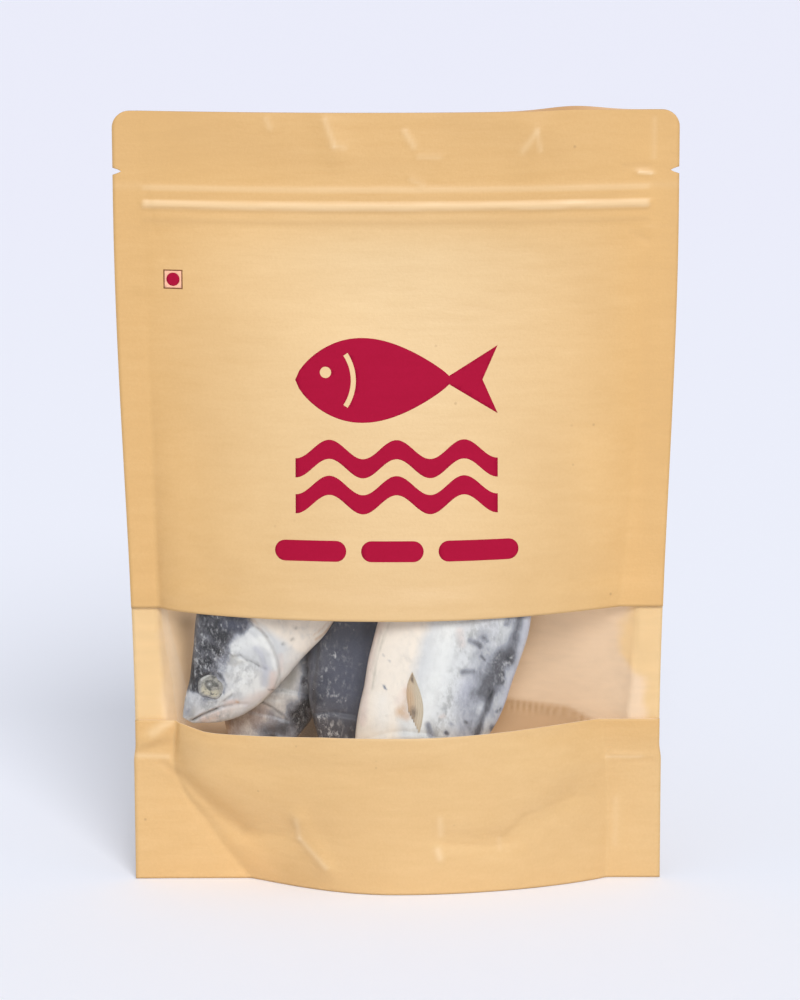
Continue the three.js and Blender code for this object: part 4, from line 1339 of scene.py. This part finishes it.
def makeEye(name, place, material):
    # a low dome on each flank, wrinkled as it dried, with a ragged outline
    rings, sides = eyeBuild["rings"] - 1, eyeBuild["sides"]
    middleA, middleU = eyeBuild["along"] * place["head"], eyeBuild["up"]
    base = float(flankHeight(place, np.array(middleA), np.array(middleU))) - eyeBuild["sink"]
    away = np.linspace(0, 1, eyeBuild["rings"])[1:, None]
    turn = np.linspace(0, 2 * np.pi, sides, endpoint=False)[None, :]
    across, above = away * np.cos(turn), away * np.sin(turn)
    ragged = 1 + 0.07 * np.sin(3 * turn + 1) + 0.05 * np.sin(5 * turn)
    a = middleA + eyeBuild["length"] * place["head"] * ragged * across
    u = middleU + eyeBuild["depth"] * ragged * above
    dome = eyeBuild["rise"] * np.sqrt(1 - away**2 * 0.98) - 0.22 * hump(away, 0.36, 0.1)
    z = base + dome + 0.14 * cloud(a, u, 2.0, 8)
    ends = ((middleA, middleU, base + eyeBuild["rise"]), (middleA, middleU, base - 0.6))
    a, u, z = withEnds((a, u, z), ends)

    pupilA, pupilU = eyeBuild["pupil"]
    low = np.clip(np.cos(turn - 3.4) * 1.4, 0, 1) * smoothStep(away, 0.28, 0.5) * fadeOut(away, 0.75, 0.9)
    shade = np.clip(np.cos(turn + 0.35), 0, 1) * smoothStep(away, 0.62, 0.82)
    shade = shade + np.clip(np.cos(turn - 2.1), 0, 1) ** 2 * smoothStep(away, 0.7, 0.9)
    lid = hump(away, 0.86 + 0.05 * np.sin(2 * turn), 0.07) * np.cos(turn - 1.2)
    grids = (away + 0 * turn, low, np.hypot(across - pupilA, above - pupilU), shade, lid)
    values = withEnds(grids, ((0, 0, float(np.hypot(pupilA, pupilU)), 0, 0), (1, 0, 1, 0, 0)))

    points, faces, made = [], [], ringFaces(rings, sides)
    for flank in (-1, 1):
        first = len(points)
        points += toPouch(place, a, u, z * flank).tolist()
        faces += [tuple(first + k for k in (face if flank > 0 else face[::-1])) for face in made]
    piece = meshPiece(name, points, faces, [material])
    for mask, maskValues in zip(eyeMasks, values):
        giveAttribute(piece, mask, np.tile(np.clip(maskValues, 0, 2), 2))
    finishPiece(piece, "pale_fish_skin")


# the folded breast fin of the right fish: its root across the flank and its tip, along and up
fin = {
    "root": ((39.9, -7.8), (33.3, -1.7)),
    "tip": (53, -10.4),
    "bulge": 3.6,
    "rays": 7,
    "ridge": 0.13,
    "stand": 0.04,
    "thickness": 0.18,
    "golden": (0.48, 0.335, 0.21),
    "tan": (0.5, 0.435, 0.335),
    "brown": (0.15, 0.115, 0.09),
}


def finMaterial():
    material, tree = newMaterial("driedFin")
    blotches = mapRange(tree, noiseOf(tree, objectPlace(tree), 500, 4, 0.65), 0.3, 0.55, 0.35, 1.0)
    colour = layered(tree, fin, "tan", (
        ("golden", attributeOf(tree, "golden")),
        ("brown", times(tree, attributeOf(tree, "brown"), blotches)),
    ))
    return dressed(material, {"Base Color": colour, "Roughness": 0.5, "Specular IOR Level": 0.3})


def makeFin(name, place, material):
    s, t = np.meshgrid(np.linspace(0, 1, 90), np.linspace(0, 1, 97), indexing="ij")
    (lowA, lowU), (highA, highU) = fin["root"]
    reach = 1 - 0.93 * s
    a = (lowA + (highA - lowA) * t) * reach + fin["tip"][0] * (1 - reach)
    u = (lowU + (highU - lowU) * t) * reach + fin["tip"][1] * (1 - reach)
    u = u + fin["bulge"] * np.sin(np.pi * s) * (t - 0.35)
    a = a - 0.8 * np.abs(np.sin(np.pi * fin["rays"] * t)) * (1 - smoothStep(s, 0, 0.12))
    rays = np.abs(np.cos(np.pi * fin["rays"] * t)) ** 0.6
    edge = np.sqrt(np.clip(np.minimum(t, 1 - t) * 9, 0, 1))
    # brown: painted shade near the tip, a shadowed wedge at the root and in the grooves between the rays, and
    # a thin darker band along the far edge
    dark = 0.9 * hump(t, 0.3, 0.2) * smoothStep(s, 0.74, 0.82) * (1 - smoothStep(s, 0.92, 0.98))
    dark = dark + 0.85 * hump(t, 0.34 + 0.6 * s, 0.2) * (1 - smoothStep(s, 0.12, 0.4))
    dark = dark + 0.25 * hump(t, 0.99, 0.04) * (1 - smoothStep(s, 0.5, 0.7))
    dark = np.clip(dark + 0.22 * (1 - rays), 0, 1)
    golden = hump(t, 0.15, 0.35) * (1 - 0.5 * smoothStep(s, 0.4, 0.7)) * (0.8 + 0.2 * rays)
    points = []
    for lift in (fin["stand"] + fin["thickness"] * edge + fin["ridge"] * rays * edge, -0.5 + 0 * s):
        z = flankHeight(place, a, u) + lift
        points.append(toPouch(place, a, u, -z if fishFrame(place)[2][1] > 0 else z).reshape(-1, 3))
    faces, _ = gridFaces(s.shape[1], s.shape[0])
    piece = meshPiece(name, np.concatenate(points), faces, [material])
    giveAttribute(piece, "brown", np.tile(dark.ravel(), 2))
    giveAttribute(piece, "golden", np.tile(golden.ravel(), 2))
    pointOutwards(piece)
    finishPiece(piece, "pale_fish_skin")


def pointOutwards(piece):
    work = bmesh.new()
    work.from_mesh(piece.data)
    bmesh.ops.recalc_face_normals(work, faces=work.faces)
    work.to_mesh(piece.data)
    work.free()


salt = {"grain": 0.16, "seed": 4, "roughness": 0.35, "colour": (0.82, 0.83, 0.84), "dull": 0.82}


def saltMaterial():
    material, tree = newMaterial("saltGrain")
    dull = tuple(salt["dull"] * c for c in salt["colour"])
    colour = mixColour(tree, noiseOf(tree, objectPlace(tree), 800), dull, salt["colour"])
    return dressed(material, {"Base Color": colour, "Roughness": salt["roughness"]})


def saltTree(material):
    # grains scattered over a fish, thickest where its skin is frosted
    tree = bpy.data.node_groups.new("saltScatter", "GeometryNodeTree")
    face = tree.interface
    face.new_socket(name="Skin", in_out="INPUT", socket_type="NodeSocketGeometry")
    for name, kind, value in (("Density", "NodeSocketFloat", 20000.0), ("Grain", "NodeSocketFloat", 0.0002),
                              ("Seed", "NodeSocketInt", 0)):
        face.new_socket(name=name, in_out="INPUT", socket_type=kind).default_value = value
    face.new_socket(name="Grains", in_out="OUTPUT", socket_type="NodeSocketGeometry")
    entry, leave = tree.nodes.new("NodeGroupInput"), tree.nodes.new("NodeGroupOutput")
    frost = node(tree, "GeometryNodeInputNamedAttribute", data_type="FLOAT", inputs={"Name": "frost"})
    density = node(tree, "ShaderNodeMath", operation="MULTIPLY", inputs={
        0: frost.outputs[0], 1: entry.outputs["Density"]})
    spread = node(tree, "GeometryNodeDistributePointsOnFaces", inputs={
        "Mesh": entry.outputs["Skin"], "Density": density.outputs[0], "Seed": entry.outputs["Seed"]})
    grain = node(tree, "GeometryNodeMeshIcoSphere", inputs={
        "Radius": entry.outputs["Grain"], "Subdivisions": 1})
    turn = node(tree, "FunctionNodeRandomValue", data_type="FLOAT_VECTOR", inputs={
        0: (0.0, 0.0, 0.0), 1: (6.28, 6.28, 6.28), "Seed": entry.outputs["Seed"]}).outputs[0]
    size = node(tree, "FunctionNodeRandomValue", data_type="FLOAT_VECTOR", inputs={
        0: (0.4, 0.4, 0.4), 1: (1.5, 1.1, 0.9), "Seed": entry.outputs["Seed"]}).outputs[0]
    placed = node(tree, "GeometryNodeInstanceOnPoints", inputs={
        "Points": spread.outputs["Points"], "Instance": grain.outputs["Mesh"],
        "Rotation": turn, "Scale": size})
    real = node(tree, "GeometryNodeRealizeInstances", inputs={0: placed.outputs[0]})
    painted = node(tree, "GeometryNodeSetMaterial", inputs={
        "Geometry": real.outputs[0], "Material": material})
    tree.links.new(painted.outputs[0], leave.inputs[0])
    return tree


def makeSalt(name, fish, density, tree):
    grown = newObject(name + "Source", fish.data.copy())
    scatter = grown.modifiers.new("salt", "NODES")
    scatter.node_group = tree
    values = {"Density": float(density), "Grain": salt["grain"] * milli, "Seed": salt["seed"]}
    for item in tree.interface.items_tree:
        if item.in_out == "INPUT" and item.name in values:
            scatter[item.identifier] = values[item.name]
    finishPiece(newObject(name, plainMesh(grown)), "pale_fish_skin")


def makeAllFish():
    makeSkinPattern()
    skins = {"pale_fish_skin": skinMaterial("paleSkin"), "slate_fish_skin": skinMaterial("slateSkin")}
    eye, scatter = eyeMaterial(), saltTree(saltMaterial())
    for name, place in fishPlaces.items():
        fish = makeFish(name, place, skins[place["slot"]])
        makeEye(name + "Eyes", place, eye)
        makeSalt(name + "Salt", fish, place["salt"], scatter)
    makeFin("fishRightFin", fishPlaces["fishRight"], finMaterial())
    print("fish made")


def inkPiece(name, curves, material):
    # flat outlines in across and height, cut into small cells and laid on the front sheet
    data = bpy.data.curves.new(name, "CURVE")
    data.dimensions = "2D"
    data.fill_mode = "BOTH"
    for outline in curves:
        spline = data.splines.new("POLY")
        spline.points.add(len(outline) - 1)
        for point, (x, z) in zip(spline.points, outline):
            point.co = (x, z, 0, 1)
        spline.use_cyclic_u = True
    work = bmesh.new()
    work.from_mesh(plainMesh(newObject(name + "Flat", data)))
    bmesh.ops.remove_doubles(work, verts=work.verts, dist=0.001)
    low = np.min([v.co for v in work.verts], axis=0)
    high = np.max([v.co for v in work.verts], axis=0)
    for axis in (0, 1):
        for place in np.arange(low[axis] + 1, high[axis], 2.0):
            cut, normal = [0, 0, 0], [0, 0, 0]
            cut[axis], normal[axis] = place, 1
            whole = work.verts[:] + work.edges[:] + work.faces[:]
            bmesh.ops.bisect_plane(work, geom=whole, plane_co=cut, plane_no=normal, dist=0.0001)
    bmesh.ops.recalc_face_normals(work, faces=work.faces)
    places = np.array([v.co for v in work.verts])
    faces = [[v.index for v in face.verts] for face in work.faces]
    if work.faces[0].normal.z > 0:
        faces = [face[::-1] for face in faces]
    work.free()
    x, height = places[:, 0], places[:, 1]
    y = frontFace(x, height) - pouch["paper"] - ink["stand"]
    points = np.stack([x, y, sheetHeight(x, height)], -1)
    piece = meshPiece(name, points, [face[::-1] for face in faces], [material])
    thick = piece.modifiers.new("thick", "SOLIDIFY")
    thick.thickness = ink["thickness"] * milli
    thick.offset = 0
    finishPiece(piece, "kraft_paper")
    return piece


def arc(centre, radius, start, end, count):
    turns = np.radians(np.linspace(start, end, count))
    return [(centre[0] + radius * math.cos(t), centre[1] + radius * math.sin(t)) for t in turns]


def roundedBox(left, right, low, high, radius, count=8):
    corners = ((right - radius, low + radius, -90), (right - radius, high - radius, 0),
               (left + radius, high - radius, 90), (left + radius, low + radius, 180))
    return [p for x, z, turn in corners for p in arc((x, z), radius, turn, turn + 90, count)]


printed = {
    "middle": 0,
    "fishHeight": 176,
    "fishLength": 68,
    "fishDepth": 27,
    "waveTop": 153,
    "waveLift": 3.2,
    "waveThick": 6.4,
    "wavePitch": 12,
    "waveCount": 2,
    "waveLength": 22.6,
    "barLow": 115.5,
    "barHigh": 122.5,
    "bars": ((-41, -17), (-12, 9), (14, 41)),
    "markMiddle": (-75.1, 208.7),
    "markHalf": 3.25,
    "markLine": 0.42,
    "markDot": 2.25,
}


def fishSign():
    # a plain fish: a pointed oval body and a forked tail, with an eye and a gill line left bare
    length, depth = printed["fishLength"], printed["fishDepth"]
    left, middle = printed["middle"] - length / 2, printed["fishHeight"]
    body = length * 0.76
    t = np.linspace(0, 1, 40)
    rise = depth / 2 * np.sin(np.pi * t**0.8) ** 0.85 + 1.4 * t
    upper = [(left + body * s, middle + r) for s, r in zip(t, rise)]
    tail = [(left + length, middle + depth * 0.42), (left + length * 0.925, middle),
            (left + length, middle - depth * 0.42)]
    lower = [(x, 2 * middle - z) for x, z in upper[:0:-1]]
    eyeHole = arc((left + length * 0.15, middle + 2.6), 1.9, 0, 345, 24)
    outer = arc((left + length * 0.06, middle), length * 0.24, -34, 34, 16)
    inner = arc((left + length * 0.06, middle), length * 0.215, 34, -34, 16)
    return [upper + tail + lower, eyeHole, outer + inner]


def waveSigns():
    made = []
    for number in range(printed["waveCount"]):
        top = printed["waveTop"] - number * printed["wavePitch"]
        x = np.linspace(-printed["fishLength"] / 2, printed["fishLength"] / 2, 90)
        line = printed["waveLift"] * np.cos(2 * np.pi * x / printed["waveLength"])
        upper = [(a, top + b) for a, b in zip(x, line)]
        lower = [(a, top + b - printed["waveThick"]) for a, b in zip(x[::-1], line[::-1])]
        made.append(upper + lower)
    return made


def makePrint():
    crimson = inkMaterial("crimsonInk", ink["dark"], ink["bright"])
    signs = fishSign() + waveSigns()
    radius = (printed["barHigh"] - printed["barLow"]) / 2 - 0.01
    signs += [roundedBox(a, b, printed["barLow"], printed["barHigh"], radius) for a, b in printed["bars"]]
    inkPiece("printedSign", signs, crimson)
    x, z = printed["markMiddle"]
    half, line = printed["markHalf"], printed["markLine"]

    def square(reach):
        return [(x - reach, z - reach), (x + reach, z - reach), (x + reach, z + reach),
                (x - reach, z + reach)]

    blush = inkMaterial("blushInk", ink["blush"], tuple(1.08 * c for c in ink["blush"]))
    inkPiece("printedMarkGround", [square(half - line), arc((x, z), printed["markDot"], 0, 350, 36)], blush)
    brown = inkMaterial("brownInk", ink["frame"], tuple(1.3 * c for c in ink["frame"]))
    inkPiece("printedMarkFrame", [square(half), square(half - line)], brown)
    inkPiece("printedMarkDot", [arc((x, z), printed["markDot"], 0, 350, 36)], crimson)
    print("print laid on")


makeCamera()
makeStudio()
makePouch()
makeGusset()
makeAllFish()
makePrint()
